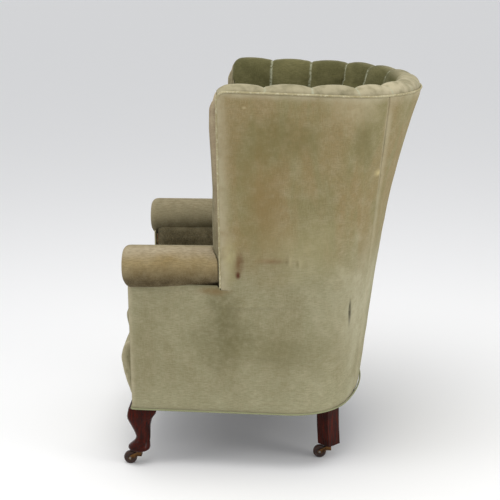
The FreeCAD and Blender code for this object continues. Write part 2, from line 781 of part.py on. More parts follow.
def make_corner_blocks():
    """Glue blocks: triangles in the front corners, bowed blocks on the back rail."""
    leg = size("block_leg")
    up = Vector(0, 0, size("block_drop"))
    tall = size("rail_height") - 2 * size("block_drop")
    corner = side_rail_inner(rail_back, rail_inner)
    along = side_rail_inner(rail_back + leg, rail_inner)
    across = Vector(corner.x - leg, rail_back, hem)
    front = prism([corner + up, along + up, across + up], tall)
    plan = Plan(hem)
    wide = 1.3 * leg / plan.rear_radius
    outer = [Vector(*plan.on_rear(plan.turn + wide * step, rail_inner), hem) for step in (0, 0.5, 1)]
    inner = [Vector(*plan.on_rear(plan.turn + wide * step, rail_inner + leg / 2), hem) for step in (1, 0)]
    edges = [curve(*outer)]
    for first, second in ((outer[2], inner[0]), (inner[0], inner[1]), (inner[1], outer[0])):
        edges.append(Part.LineSegment(first, second).toShape())
    rear = prism(closed_wire(edges), tall).translated(up)
    return Part.makeCompound([front, mirrored(front), rear, mirrored(rear)])


shaped("corner_blocks", make_corner_blocks())

# Arm frame

post_outer = "(sizes.hem_front_side - sizes.cover_thickness - 2 * sizes.seating)"
post_x = {"left": f"{post_outer} - sizes.post_width", "right": f"-{post_outer}"}
arm_rail_x = {"left": "sizes.arm_front_side + 4 - sizes.arm_rail_width", "right": "-sizes.arm_front_side - 4"}
arm_rail_length = "sizes.front_plane - sizes.cover_thickness - sizes.seating - sizes.wing_front"
post_height = "sizes.arm_height - 2 * sizes.roll_radius + 2 - sizes.hem_height - sizes.rail_height"
for side in ("left", "right"):
    block(f"arm_post_{side}", "sizes.post_width", "sizes.post_depth", post_height,
          post_x[side], facing_back, "sizes.hem_height + sizes.rail_height")
    block(f"arm_rail_{side}", "sizes.arm_rail_width", arm_rail_length, "sizes.arm_rail_height",
          arm_rail_x[side], facing_back, "sizes.arm_height - 2 * sizes.roll_radius + 2")

# Barrel frame: posts that follow the wall, and bent rails between and over them

top_rail_top = join_height - seating
top_rail_bottom = top_rail_top - size("top_rail_height")

# Everything that follows the barrel has its sections at these heights, so that the pieces fit
wall_levels = spread_levels(deck + seating, top_rail_bottom, 8) + [top_rail_top]


def levels_between(low, high):
    """Both ends and the shared heights between them."""
    shared = [hem, rail_top] + wall_levels
    return [low] + [z for z in shared if low + 5 < z < high - 5] + [high]


def wall_share(width):
    """Share of the half wall that a width takes up, near the middle of its height."""
    return width / Plan((hem + join_height) / 2).half_length()


def post_between(start, end):
    levels = levels_between(rail_top, top_rail_bottom)
    return loft([patch_section(z, start, end, frame_in + seating, frame_out) for z in levels], True)


wing_post_end = wall_share(size("post_depth"))
back_post_start = 0.62
back_post_end = back_post_start + wall_share(size("post_depth"))
wing_post = post_between(0.0, wing_post_end)
back_post = post_between(back_post_start, back_post_end)
shaped("wing_post_left", wing_post)
shaped("wing_post_right", mirrored(wing_post))
shaped("back_post_left", back_post)
shaped("back_post_right", mirrored(back_post))

top_rail_levels = spread_levels(top_rail_bottom, top_rail_top, 2)
shaped("top_rail", loft([run_section(z, 0, 2, frame_in, frame_out) for z in top_rail_levels], True))


def make_stuffing_rail():
    """Bent rail above the deck, cut between the posts."""
    low = deck + 25
    levels = (low, low + size("top_rail_height"))
    gap = wall_share(2 * seating)
    spans = ((wing_post_end + gap, back_post_start - gap), (back_post_end + gap, 2 - back_post_end - gap))
    side, rear = [loft([run_section(z, start, end, frame_in, frame_out) for z in levels], True)
                  for start, end in spans]
    return Part.makeCompound([side, mirrored(side), rear])


shaped("stuffing_rail", make_stuffing_rail())

webbing_in = frame_out + seating
shaped("back_webbing", loft([run_section(z, 0, 2, webbing_in, webbing_out) for z in wall_levels], True))

# Seat: webbing, springs and platform

strap_bottom = hem + 4
strap_top = strap_bottom + size("webbing_thickness")
platform_bottom = deck - size("platform_thickness")


def make_seat_webbing():
    """Straps both ways between the rails, woven into one mat."""
    half = size("strap_width") / 2
    thick = size("webbing_thickness")
    reach = size("hem_side")
    straps = []
    for step in range(-2, 3):
        x = step * (size("strap_width") + size("strap_gap_x"))
        straps.append(Part.makeBox(2 * half, 3 * reach, thick, Vector(x - half, -1.5 * reach, strap_bottom)))
    for step in range(4):
        y = rail_back + 1.5 * size("strap_width") + step * (size("strap_width") + size("strap_gap_y"))
        straps.append(Part.makeBox(2 * reach, 2 * half, thick, Vector(-reach, y - half, strap_bottom)))
    mat = straps[0].multiFuse(straps[1:]).removeSplitter()
    return mat.common(prism(seat_outline(hem, rail_inner, rail_back), size("rail_height")))


shaped("seat_webbing", make_seat_webbing())


def make_seat_springs():
    """Waisted springs, each an eight-sided sleeve that stands for its wire."""
    levels = (strap_top, (strap_top + platform_bottom) / 2, platform_bottom)
    wire = size("spring_wire")

    def sleeve(inset):
        wires = []
        for radius, z in zip((size("spring_radius"), size("spring_waist"), size("spring_radius")), levels):
            angles = [math.radians(45 * step) for step in range(8)]
            ring = [Vector((radius - inset) * math.cos(a), (radius - inset) * math.sin(a), z) for a in angles]
            wires.append(Part.makePolygon(ring + ring[:1]))
        return loft(wires, True)

    spring = sleeve(0).cut(sleeve(wire))
    springs = []
    for row in range(3):
        for column in range(-1, 2):
            x = column * size("spring_pitch_x")
            y = rail_back + 2.5 * size("spring_radius") + row * size("spring_pitch_y")
            springs.append(spring.translated(Vector(x, y, 0)))
    return Part.makeCompound(springs)


shaped("seat_springs", make_seat_springs())

inside_arm = size("inside_arm_side")
deck_half = inside_arm - size("inside_arm_bow") - seating
platform_plan = seat_outline(platform_bottom, channel_back, rail_front, deck_half)
shaped("seat_platform", prism(platform_plan, size("platform_thickness")))

# Inside back: channels and the crest roll that they turn over


def wall_depth(share, z):
    """Depth of the wall to a channel's valley: thicker by the seat and by the arms."""
    top = size("wall_top")
    low = min(max(1 - (z - deck) / size("seat_blend_height"), 0), 1)
    extra = (size("wall_seat") - top) * low ** 2
    near = min(share, 2 - share)
    sideways = max(0, 1 - near / 0.3) ** 2
    downward = min(max((arm_fade - z) / (arm_fade - size("arm_height")), 0), 1)
    upward = min(max((z - deck) / (size("arm_height") - deck), 0), 1)
    extra += size("arm_blend") * sideways * upward * downward * downward * (3 - 2 * downward)
    return top + extra - size("channel_depth")


arm_fade = size("arm_height") + size("arm_blend_height")
count = int(round(size("channel_count")))


def channel_section(z, start, end):
    """Flat back, radial sides at the valleys and a rounded crown."""
    plan = Plan(z)
    middle = (start + end) / 2
    back = [Vector(*plan.at(share, channel_back - 1.5)[0], z) for share in (start, middle, end)]
    first = Vector(*plan.at(start, wall_depth(start, z))[0], z)
    crown = Vector(*plan.at(middle, wall_depth(middle, z) + size("channel_depth"))[0], z)
    last = Vector(*plan.at(end, wall_depth(end, z))[0], z)
    edges = [curve(*back), curve(first, crown, last)]
    edges.append(Part.LineSegment(back[0], first).toShape())
    edges.append(Part.LineSegment(back[2], last).toShape())
    return closed_wire(edges)


def make_channels():
    wall = loft([run_section(z, 0, 2, 0, channel_back) for z in wall_levels], True)
    channels = []
    for number in range(count):
        start = 2 * number / count
        end = 2 * (number + 1) / count
        channel = loft([channel_section(z, start, end) for z in wall_levels], True)
        channels.append(channel.cut(wall))
    return Part.makeCompound(channels)


shaped("back_channels", make_channels())


def crest_profile(share, crown):
    """Upright section of the roll, over the wall from the channel to the piping.

    The crown is 0 in a valley and 1 in the middle of a channel."""
    z = piping_plane(wing_y)
    for _ in range(12):
        (x, y), normal = Plan(z).at(share, 0)
        z = piping_plane(y)
    face = Vector(x, y, 0)
    out = Vector(normal[0], normal[1], 0)
    low_face = Vector(*Plan(join_height).at(share, 0)[0], 0)
    lean = (low_face - face).dot(out) / out.Length ** 2

    def at(inset, height):
        slope = (z - height) / (z - join_height) if height < z else 0
        return face + out * (slope * lean - inset) + Vector(0, 0, height)

    top = crest_valley(y) + size("crest_crown") * crown
    depth = size("wall_top") - size("channel_depth") * (1 - crown)
    ridge = at(depth * 0.5, top)
    inner_low = at(depth, join_height)
    inner_mid = at(depth * 0.90, join_height + (top - join_height) * 0.68)
    outer_low = at(cover + 2 * seating, join_height)
    outer_high = at(cover + 2 * seating, z)
    outer_mid = at(depth * 0.22, z + (top - z) * 0.72)
    edges = [Part.LineSegment(outer_low, inner_low).toShape()]
    edges.append(Part.Arc(inner_low, inner_mid, ridge).toShape())
    edges.append(Part.Arc(ridge, outer_mid, outer_high).toShape())
    edges.append(Part.LineSegment(outer_high, outer_low).toShape())
    return closed_wire(edges)


def make_crest_roll():
    segments = []
    for number in range(count):
        sections = []
        for across in (0, 0.12, 0.3, 0.5, 0.7, 0.88, 1):
            crown = 1 - (2 * across - 1) ** 2
            sections.append(crest_profile(2 * (number + across) / count, crown))
        segments.append(loft(sections, True))
    return Part.makeCompound(segments)


# Wing edges

# Height, reach in front of the channels, and how far the outer and inner edges draw in, as shares
NOSE = [(0.00, 0.35, 0, 0), (0.10, 0.75, 0, 0), (0.21, 1.00, 0, 0), (0.37, 0.97, 0, 0), (0.50, 0.84, 0, 0),
        (0.65, 0.95, 0, 0), (0.80, 1.10, 0, 0), (0.92, 1.00, 0, 0.03), (0.97, 0.75, 0.04, 0.14),
        (1.00, 0.35, 0.22, 0.34)]


def nose_section(z, reach, clearance, draw_out, draw_in):
    """D-shaped section: flat against the channels, rounded in front."""
    plan = Plan(z)
    outer = cover + 1 - clearance
    inner = wall_depth(0, z) + size("channel_depth") * 0.6 + clearance
    span = inner - outer
    first = Vector(plan.on_side(wing_y, outer + draw_out * span)[0], wing_y - seating, z)
    last = Vector(plan.on_side(wing_y, inner - draw_in * span)[0], wing_y - seating, z)
    tip = (first + last) * 0.5 - Vector(0, reach + clearance, 0)
    return closed_wire([Part.LineSegment(first, last).toShape(), Part.Arc(first, tip, last).toShape()])


rail_x = size("arm_front_side") + 4 - size("arm_rail_width")
arm_rail_low = roll_bottom + 2
arm_rail_high = arm_rail_low + size("arm_rail_height")


def rail_room(low):
    """The arm rail's length and width with clearance, from this height up to its top."""
    start = Vector(rail_x - seating, rail_front - seating, low)
    width = size("arm_rail_width") + 2 * seating
    return Part.makeBox(width, wing_y - start.y + 1, arm_rail_high + seating - low, start)


def make_wing_edge(clearance):
    low = roll_bottom + 4 - clearance
    high = crest_valley(wing_y) - 1
    wires = []
    for share, reach, draw_out, draw_in in NOSE:
        z = low + share * (high - low)
        wires.append(nose_section(z, reach * size("wing_nose"), clearance, draw_out, draw_in))
    return loft(wires, True)


wing_edge = make_wing_edge(0).cut(rail_room(rail_top))
shaped("wing_edge_left", wing_edge)
shaped("wing_edge_right", mirrored(wing_edge))

# Arms


def make_arm_roll():
    """Scroll roll with a domed front, seated over the arm rail and against the wing edge."""
    radius = size("roll_radius")
    front = front_y - size("roll_overhang")
    start = Vector(size("roll_side"), front, roll_axis)
    roll = Part.makeCylinder(radius, wing_y - seating - front, start, Vector(0, 1, 0))
    rim = [edge for edge in roll.Edges if edge.Closed and abs(edge.CenterOfMass.y - front) < 0.01]
    roll = roll.makeFillet(size("roll_rounding"), rim)
    cord = 2 * size("piping_radius") + 3 * seating
    cord_x = Plan(roll_axis).on_side(wing_y, 0)[0] - cord - 2
    groove = Part.makeBox(2 * radius, cord + 1, 4 * radius,
                          Vector(cord_x, wing_y - cord, roll_bottom - radius))
    roll = roll.cut(rail_room(rail_top)).cut(groove)
    return roll.cut(make_wing_edge(seating))


arm_roll = make_arm_roll()
shaped("arm_roll_left", arm_roll)
shaped("arm_roll_right", mirrored(arm_roll))


def roll_clearance():
    """The room that the roll takes, for what is cut to fit under it."""
    start = Vector(size("roll_side"), front_y - size("roll_radius"), roll_axis)
    return Part.makeCylinder(size("roll_radius") + seating, 2 * size("front_plane"), start, Vector(0, 1, 0))


def make_inside_arm():
    """Inside arm: a bowed pad from the rail up to the roll."""
    low = rail_top + seating
    high = roll_axis
    back = inside_arm + size("inside_arm_thickness")
    y = rail_front
    bowed = Vector(inside_arm - size("inside_arm_bow"), y, (low + high) / 2)
    bow = [Vector(inside_arm, y, low), bowed, Vector(inside_arm, y, high)]
    edges = [Part.Arc(*bow).toShape()]
    corners = [bow[2], Vector(back, y, high), Vector(back, y, low), bow[0]]
    edges += [Part.LineSegment(a, b).toShape() for a, b in zip(corners, corners[1:])]
    pad = Part.Face(closed_wire(edges)).extrude(Vector(0, wing_y - seating - y, 0))
    return pad.cut(roll_clearance()).cut(make_wing_edge(seating))


inside_arm_pad = make_inside_arm()
shaped("inside_arm_pad_left", inside_arm_pad)
shaped("inside_arm_pad_right", mirrored(inside_arm_pad))


def make_facing():
    """Front strip of the arm, from the hem up under the roll."""
    top_x = size("arm_front_side") - cover - seating
    hem_x = size("hem_front_side") - cover - seating
    high = roll_bottom + size("roll_radius") * 0.35
    corners = [Vector(inside_arm, front_y, hem), Vector(hem_x, front_y, hem),
               Vector(top_x, front_y, high), Vector(inside_arm, front_y, high)]
    strip = Part.Face(Part.makePolygon(corners + corners[:1])).extrude(Vector(0, cover, 0))
    return strip.cut(roll_clearance())


facing = make_facing()
shaped("arm_facing_left", facing)
shaped("arm_facing_right", mirrored(facing))

# Outside panels

arm_levels = levels_between(hem, panel_split - seating)
arm_panel = loft([arm_section(z, 0, cover, seating) for z in arm_levels], True)
shaped("outside_arm_panel_left", arm_panel)
shaped("outside_arm_panel_right", mirrored(arm_panel))


panel_top = size("piping_rear_height") - 60
wing_planes = [level(z) for z in levels_between(panel_split + seating, panel_top)] + [piping_plane]
wing_panel = loft([side_section(plane, wing_y + seating, 0, cover, seating) for plane in wing_planes], True)
shaped("outside_wing_panel_left", wing_panel)
shaped("outside_wing_panel_right", mirrored(wing_panel))

crest = make_crest_roll().cut(wing_panel).cut(mirrored(wing_panel))
shaped("crest_roll", crest)

rear_planes = [level(z) for z in levels_between(hem, panel_top)] + [piping_plane]
back_panel = loft([rear_section(plane, 0, cover, seating) for plane in rear_planes], True)
shaped("outside_back_panel", back_panel)

# Front border, cushion, piping and dust cover

border_low = hem + 2 * size("piping_radius") + 2
border_high = deck - 4


def border_section(x, bulge):
    """Upright section of the border: flat back, full front that is fullest near the top."""
    back = rail_front - seating
    front = front_y + 1
    rise = border_high - border_low
    belly = Vector(x, front - bulge, border_low + rise * 0.68)
    low = Vector(x, front, border_low)
    top = Vector(x, front - bulge * 0.25, border_high)
    edges = [Part.LineSegment(Vector(x, back, border_low), low).toShape()]
    edges.append(Part.Arc(low, Vector(x, front - bulge * 0.70, border_low + rise * 0.36), belly).toShape())
    edges.append(Part.Arc(belly, Vector(x, front - bulge * 0.86, border_low + rise * 0.89), top).toShape())
    edges.append(Part.LineSegment(top, Vector(x, back, border_high)).toShape())
    edges.append(Part.LineSegment(Vector(x, back, border_high), Vector(x, back, border_low)).toShape())
    return closed_wire(edges)


def make_border():
    half = inside_arm - seating
    wires = []
    for share in (-1, -0.5, 0, 0.5, 1):
        bulge = size("border_bulge") + size("border_bow") * (1 - share ** 2)
        wires.append(border_section(share * half, bulge))
    return loft(wires)


shaped("front_border", make_border())


def cushion_section(z, inset, pull):
    """Seat-shaped section with sides that pull in between the corners."""
    plan = Plan(deck)
    room = wall_depth(1, deck) + size("channel_depth") + 3 + inset
    half = inside_arm - 5 - inset
    front = -size("cushion_front") + inset
    rear = plan.rear - room
    shoulder = plan.shoulder - 20
    corner = size("cushion_corner")
    bow = size("cushion_bow")
    span = rear - shoulder
    route = [(0, front - bow), ((half - corner) / 2, front - bow * 0.75), (half - corner, front),
             (half - corner * 0.29, front + corner * 0.29), (half, front + corner),
             (half - pull, (front + corner + shoulder) / 2), (half, shoulder),
             (half * 0.89, shoulder + span * 0.45), (half * 0.60, shoulder + span * 0.79)]
    points = [Vector(*spot, z) for spot in route]
    joint = points[-1]
    edges = [Part.Arc(*points[first:first + 3]).toShape() for first in (0, 2, 4, 6)]
    edges += [mirrored(edge) for edge in edges]
    edges.append(Part.Arc(joint, Vector(0, rear, z), Vector(-joint.x, joint.y, z)).toShape())
    return closed_wire(edges)


def make_cushion():
    """Crowned cushion: flat underneath, full border, domed top."""
    low = deck + seating
    tall = size("cushion_height")
    crown = size("cushion_crown")
    pull = size("cushion_pull")
    rows = [(0, 16, 0.3), (0.10, 4, 1), (0.45, 0, 1.4), (0.86, 3, 1), (0.97, 12, 0.6)]
    wires = [cushion_section(low + share * tall, inset, pull * drawn) for share, inset, drawn in rows]
    for rise, inset in ((0.20, 28), (0.55, 52), (0.85, 86), (1.0, 125)):
        wires.append(cushion_section(low + tall + rise * crown, inset, pull * 0.3))
    return loft(wires, True)


shaped("seat_cushion", make_cushion())


def swept(edges, start, tangent):
    """Cord along joined edges."""
    path = Part.Wire(Part.__sortEdges__(edges))
    circle = Part.Wire([Part.makeCircle(size("piping_radius"), start, tangent)])
    return path.makePipeShell([circle], True, False, 1)


def make_base_piping():
    """Cord all round the hem, just outside the cover."""
    z = hem + size("piping_radius") + 0.5
    out = -(size("piping_radius") + seating)
    plan = Plan(z)
    radius = -out
    y = front_y + out
    start = Vector(*plan.on_shoulder(plan.splay, out), z)
    middle = Vector(*plan.on_shoulder((plan.splay + plan.turn) / 2, out), z)
    joint = Vector(*plan.on_shoulder(plan.turn, out), z)
    rear = Vector(0, plan.rear - out, z)
    side_dir = Vector(math.sin(plan.splay), -math.cos(plan.splay), 0)
    corner = start + side_dir * ((start.y - y) / math.cos(plan.splay))
    half_angle = (math.pi / 2 + plan.splay) / 2
    back_off = radius * math.tan(half_angle)
    arc_start = corner - side_dir * back_off
    arc_end = corner - Vector(back_off, 0, 0)
    centre = arc_end + Vector(0, radius, 0)
    arc_mid = centre + (corner - centre).normalize() * radius
    quarter = plan.on_rear((plan.turn + math.pi / 2) / 2, out)
    front_middle = Vector(0, y, z)
    edges = [Part.LineSegment(front_middle, arc_end).toShape()]
    edges.append(Part.Arc(arc_end, arc_mid, arc_start).toShape())
    edges.append(Part.LineSegment(arc_start, start).toShape())
    edges.append(curve(start, middle, joint))
    edges.append(curve(joint, Vector(*quarter, z), rear))
    half = swept(edges, front_middle, Vector(1, 0, 0))
    return Part.makeCompound([half, mirrored(half)])


shaped("base_piping", make_base_piping())


def make_edge_piping():
    """Cord along the top of the wall and down the front of each wing."""
    radius = size("piping_radius")
    inset = radius - 0.3

    def above(y):
        return piping_plane(y) + radius + seating

    def threaded(points):
        before = points[:1] + points[:-1]
        after = points[1:] + points[-1:]
        rings = [Part.makeCircle(radius, point, last - first)
                 for first, point, last in zip(before, points, after)]
        return loft([Part.Wire([ring]) for ring in rings], True)

    steps = 40
    shares = [2 * step / steps for step in range(steps + 1)]
    top = threaded([settle(lambda plan: plan.at(share, inset)[0], above) for share in shares])
    low = roll_bottom + 6
    high = above(wing_y) - 2 * radius - seating
    heights = spread_levels(low, high, 6)
    down = threaded([Vector(Plan(z).on_side(wing_y, inset)[0], wing_y - radius - 0.2, z) for z in heights])
    return Part.makeCompound([top, down, mirrored(down)])


shaped("edge_piping", make_edge_piping())


def make_dust_cover():
    """Black cloth under the seat, cut round the legs."""
    thick = size("webbing_thickness")
    low = hem - thick
    cloth = prism(seat_outline(hem, 2, front_y + 2), thick).translated(Vector(0, 0, -thick))
    room = 1
    top_half = size("front_leg_top") / 2 + room
    top_x = size("front_leg_x") - size("front_leg_lean_x")
    top_y = size("front_leg_lean_y") - size("front_leg_y")
    half = size("rear_leg_square") / math.sqrt(2) + room
    rear_y = size("rear_leg_y") - size("rear_leg_sweep")
    for hand in (1, -1):
        corner = Vector(hand * top_x - top_half, top_y - top_half, hem - 2 * thick)
        cloth = cloth.cut(Part.makeBox(2 * top_half, 2 * top_half, 4 * thick, corner))
        centre = Vector(hand * size("rear_leg_x"), rear_y, hem - 2 * thick)
        corners = [centre + Vector(half, 0, 0), centre + Vector(0, half, 0),
                   centre - Vector(half, 0, 0), centre - Vector(0, half, 0)]
        cloth = cloth.cut(prism(corners, 4 * thick))
    return cloth


doc.recompute()
shaped("dust_cover", make_dust_cover())

# Check every object and every shape, then write one file for each sub-part

doc.recompute()
for item in doc.Objects:
    if "Invalid" in item.State or "Error" in item.State:
        raise RuntimeError(f"{item.Label}: {item.State}")
os.makedirs("parts", exist_ok=True)
faulty = [piece.Label for piece in SUBPARTS
          if piece.Shape.isNull() or not piece.Shape.isValid() or not piece.Shape.Solids]
if faulty:
    raise RuntimeError(f"no valid solid: {faulty}")
for piece in SUBPARTS:
    piece.Shape.exportStep(f"parts/{piece.Label}.step")
print(len(SUBPARTS), "sub-parts")
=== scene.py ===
# %% [markdown]
# # A barrel-back wing armchair in worn velvet
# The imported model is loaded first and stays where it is. Every visible piece is then dressed:
# covers are draped over the frame, cushions are stuffed, legs are smoothed and polished.
# Sizes are metres, the chair faces -Y, and +X is the sitter's left.

# %% Load the frame
import json
import math

import bmesh
import bpy
from mathutils import Matrix, Vector, noise


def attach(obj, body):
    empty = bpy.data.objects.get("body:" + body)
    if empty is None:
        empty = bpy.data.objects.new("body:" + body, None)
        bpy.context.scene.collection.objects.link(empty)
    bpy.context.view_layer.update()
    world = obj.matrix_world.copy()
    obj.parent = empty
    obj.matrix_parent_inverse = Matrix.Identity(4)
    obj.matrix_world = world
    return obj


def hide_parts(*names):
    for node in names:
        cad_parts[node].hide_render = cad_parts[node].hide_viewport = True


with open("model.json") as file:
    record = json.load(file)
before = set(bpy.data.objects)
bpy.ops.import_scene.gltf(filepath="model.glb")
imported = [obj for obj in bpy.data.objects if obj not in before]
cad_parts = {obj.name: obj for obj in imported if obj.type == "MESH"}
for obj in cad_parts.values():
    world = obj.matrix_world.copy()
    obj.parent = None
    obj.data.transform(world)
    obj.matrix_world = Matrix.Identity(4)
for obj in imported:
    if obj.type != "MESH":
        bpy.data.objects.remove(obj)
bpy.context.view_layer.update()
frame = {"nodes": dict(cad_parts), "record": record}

# %% [markdown]
# The camera stands where the photographer stood: well back, a little above the chair and square
# to its left side. A long lens keeps the sides of the chair nearly parallel. The camera's axes are
# worked out from three small turns, because a matrix is exact where chained rotations are not.

# %% Camera
CAMERA_PLACE = Vector((3.551, 0.1138, 1.4339))
CAMERA_TURN = -0.0512
CAMERA_DOWN = 0.2449
CAMERA_TILT = -0.0088
LENS = 89.57


def make_camera():
    ahead = Vector((-math.cos(CAMERA_TURN) * math.cos(CAMERA_DOWN),
                    math.sin(CAMERA_TURN) * math.cos(CAMERA_DOWN), -math.sin(CAMERA_DOWN)))
    right = ahead.cross(Vector((0, 0, 1))).normalized()
    up = right.cross(ahead)
    tilted_right = right * math.cos(CAMERA_TILT) + up * math.sin(CAMERA_TILT)
    tilted_up = up * math.cos(CAMERA_TILT) - right * math.sin(CAMERA_TILT)
    data = bpy.data.cameras.new("camera")
    data.lens = LENS
    data.sensor_width = 36
    camera = bpy.data.objects.new("camera", data)
    bpy.context.scene.collection.objects.link(camera)
    axes = Matrix((tilted_right, tilted_up, -ahead)).transposed().to_4x4()
    camera.matrix_world = Matrix.Translation(CAMERA_PLACE) @ axes
    bpy.context.scene.camera = camera
    return camera


make_camera()

# %% [markdown]
# The floor is one large pale plane. The room's light is a soft even sky and a broad lamp overhead.
# Weaker lamps stand in front, by the camera and behind, and the last one brightens the rear curve.

# %% Floor and lights
FLOOR_COLOUR = (0.93, 0.93, 0.93, 1)
# Name, place, aim, width, power in watts, tint
LAMPS = [
    ("overhead_softbox", (0.6, -0.3, 3.4), (0, 0, 0.6), 2.2, 46, (1, 0.985, 0.96)),
    ("front_softbox", (1.2, -3.4, 2.0), (0, 0, 0.6), 2.0, 16, (1, 0.99, 0.97)),
    ("camera_fill", (3.6, 0.9, 2.1), (0, 0, 0.6), 2.2, 5, (1, 1, 1)),
    ("rear_softbox", (1.5, 3.3, 1.5), (0.2, 0.2, 0.55), 1.8, 30, (1, 0.99, 0.97)),
]


def area_light(name, place, aim, width, power, tint):
    data = bpy.data.lights.new(name, "AREA")
    data.shape = "DISK"
    data.size = width
    data.energy = power
    data.color = tint
    lamp = bpy.data.objects.new(name, data)
    bpy.context.scene.collection.objects.link(lamp)
    lamp.location = place
    lamp.rotation_euler = (Vector(aim) - Vector(place)).to_track_quat("-Z", "Y").to_euler()
    return lamp


def make_room():
    bpy.ops.mesh.primitive_plane_add(size=120, location=(0, 0, 0))
    floor = bpy.context.object
    floor.name = "studio_floor"
    paint = bpy.data.materials.new("floor_paint")
    paint.use_nodes = True
    tree = paint.node_tree
    shader = tree.nodes["Principled BSDF"]
    shader.inputs["Base Color"].default_value = FLOOR_COLOUR
    shader.inputs["Roughness"].default_value = 0.9
    floor.data.materials.append(paint)
    world = bpy.data.worlds.new("studio_air")
    world.use_nodes = True
    sky = world.node_tree.nodes["Background"]
    sky.inputs["Color"].default_value = (0.97, 0.98, 1.0, 1)
    sky.inputs["Strength"].default_value = 0.72
    bpy.context.scene.world = world
    for lamp in LAMPS:
        area_light(*lamp)
    bpy.context.scene.view_settings.view_transform = "Standard"
    return floor


make_room()

# %% [markdown]
# ## Finishes
# Each finish is a small tree of nodes. A helper class keeps that readable: it adds a node, links what
# is passed to it, and returns the output. Patterns read Object coordinates in metres, so a scale
# of 900 means about one speckle per millimetre.

# %% A helper for finishes


def linear(red, green, blue):
    """A colour written as 0 to 255 on screen, as the shader wants it."""
    parts = [channel / 255 for channel in (red, green, blue)]
    return tuple(c / 12.92 if c <= 0.04045 else ((c + 0.055) / 1.055) ** 2.4 for c in parts) + (1,)


class Finish:
    def __init__(self, name, roughness, **settings):
        """Settings are shader inputs, with an underscore for each space: Sheen_Weight, Metallic."""
        self.material = bpy.data.materials.new(name)
        self.material.use_nodes = True
        self.tree = self.material.node_tree
        self.shader = self.tree.nodes["Principled BSDF"]
        self.shader.inputs["Roughness"].default_value = roughness
        self.shader.inputs["Sheen Roughness"].default_value = 0.45
        self.shader.inputs["Coat Roughness"].default_value = 0.18
        for label, value in settings.items():
            self.shader.inputs[label.replace("_", " ")].default_value = value
        self.place = self.add("ShaderNodeTexCoord").outputs["Object"]
        self.height = None

    def add(self, kind, **inputs):
        """A node with these inputs: a socket is linked, anything else is set."""
        node = self.tree.nodes.new(kind)
        for label, value in inputs.items():
            self.feed(node.inputs[label.replace("_", " ")], value)
        return node

    def stretched(self, scale, turn=(0, 0, 0)):
        return self.add("ShaderNodeMapping", Vector=self.place, Scale=scale, Rotation=turn).outputs["Vector"]

    def noise(self, scale, detail=3.0, roughness=0.55, place=None, warp=0.0):
        node = self.add("ShaderNodeTexNoise", Vector=place or self.place, Scale=scale, Detail=detail,
                        Roughness=roughness, Distortion=warp)
        return node.outputs["Fac"]

    def spread(self, value, low, high, to_low=0.0, to_high=1.0, smooth=True):
        node = self.tree.nodes.new("ShaderNodeMapRange")
        node.interpolation_type = "SMOOTHSTEP" if smooth else "LINEAR"
        for label, number in (("From Min", low), ("From Max", high), ("To Min", to_low), ("To Max", to_high)):
            node.inputs[label].default_value = number
        self.tree.links.new(value, node.inputs["Value"])
        return node.outputs["Result"]

    def feed(self, socket, value):
        """Link a socket to this one, or set it to a plain value."""
        if isinstance(value, bpy.types.NodeSocket):
            self.tree.links.new(value, socket)
        else:
            socket.default_value = value

    def maths(self, operation, first, second=0.0):
        node = self.tree.nodes.new("ShaderNodeMath")
        node.operation = operation
        self.feed(node.inputs[0], first)
        self.feed(node.inputs[1], second)
        return node.outputs["Value"]

    def times(self, first, second):
        return self.maths("MULTIPLY", first, second)

    def vector_maths(self, operation, first, second=(0, 0, 0)):
        node = self.tree.nodes.new("ShaderNodeVectorMath")
        node.operation = operation
        self.feed(node.inputs[0], first)
        self.feed(node.inputs[1], second)
        return node.outputs["Value" if operation == "LENGTH" else "Vector"]

    def axis(self, name, place=None):
        node = self.add("ShaderNodeSeparateXYZ", Vector=place or self.place)
        return node.outputs[name]

    def mix(self, share, first, second, mode="MIX"):
        node = self.tree.nodes.new("ShaderNodeMix")
        node.data_type = "RGBA"
        node.blend_type = mode
        for label, value in (("Factor", share), ("A", first), ("B", second)):
            self.feed([s for s in node.inputs if s.name == label and s.enabled][0], value)
        return [s for s in node.outputs if s.enabled][0]

    def blend(self, first, second, pattern, low, high, to_low=0.0, to_high=1.0):
        """From the first colour to the second as a pattern goes from low to high."""
        return self.mix(self.spread(pattern, low, high, to_low, to_high), first, second)

    def attribute(self, name):
        node = self.tree.nodes.new("ShaderNodeAttribute")
        node.attribute_name = name
        return node.outputs["Fac"]

    def spot(self, place, reach, stretch, ragged):
        """1 at a place on the chair, 0 at this reach; stretch lengthens it, ragged breaks its outline."""
        away = self.vector_maths("DIVIDE", self.vector_maths("SUBTRACT", self.place, place), stretch)
        distance = self.times(self.vector_maths("LENGTH", away), ragged)
        return self.spread(distance, 0.0, reach, 1.0, 0.0)

    def colour(self, value):
        self.tree.links.new(value, self.shader.inputs["Base Color"])

    def rough(self, value):
        self.tree.links.new(value, self.shader.inputs["Roughness"])

    def bump(self, height, distance, strength=1.0):
        """Bumps are chained: each new one adds to those before it."""
        node = self.tree.nodes.new("ShaderNodeBump")
        node.inputs["Strength"].default_value = strength
        node.inputs["Distance"].default_value = distance
        self.tree.links.new(height, node.inputs["Height"])
        if self.height is not None:
            self.tree.links.new(self.height, node.inputs["Normal"])
        self.height = node.outputs["Normal"]
        self.tree.links.new(self.height, self.shader.inputs["Normal"])


# %% [markdown]
# The outside cover is cotton velvet that light and hands have bleached. It is tan-brown in the middle
# of the wings, greener and paler towards the hem, and palest wherever it bends. The pile lies in
# patches, which a large noise gives, and its weave shows as fine level lines where it is thin.
# An attribute called worn, which each cover gets when it is made, says where it bends. On the crest of
# the lining it also holds a painted highlight.

# %% Outside velvet
PALE_GREEN = linear(146, 142, 112)
MID_OLIVE = linear(129, 121, 82)
TAN = linear(144, 123, 83)
DARK_OLIVE = linear(112, 102, 66)
BLEACHED = linear(182, 172, 144)


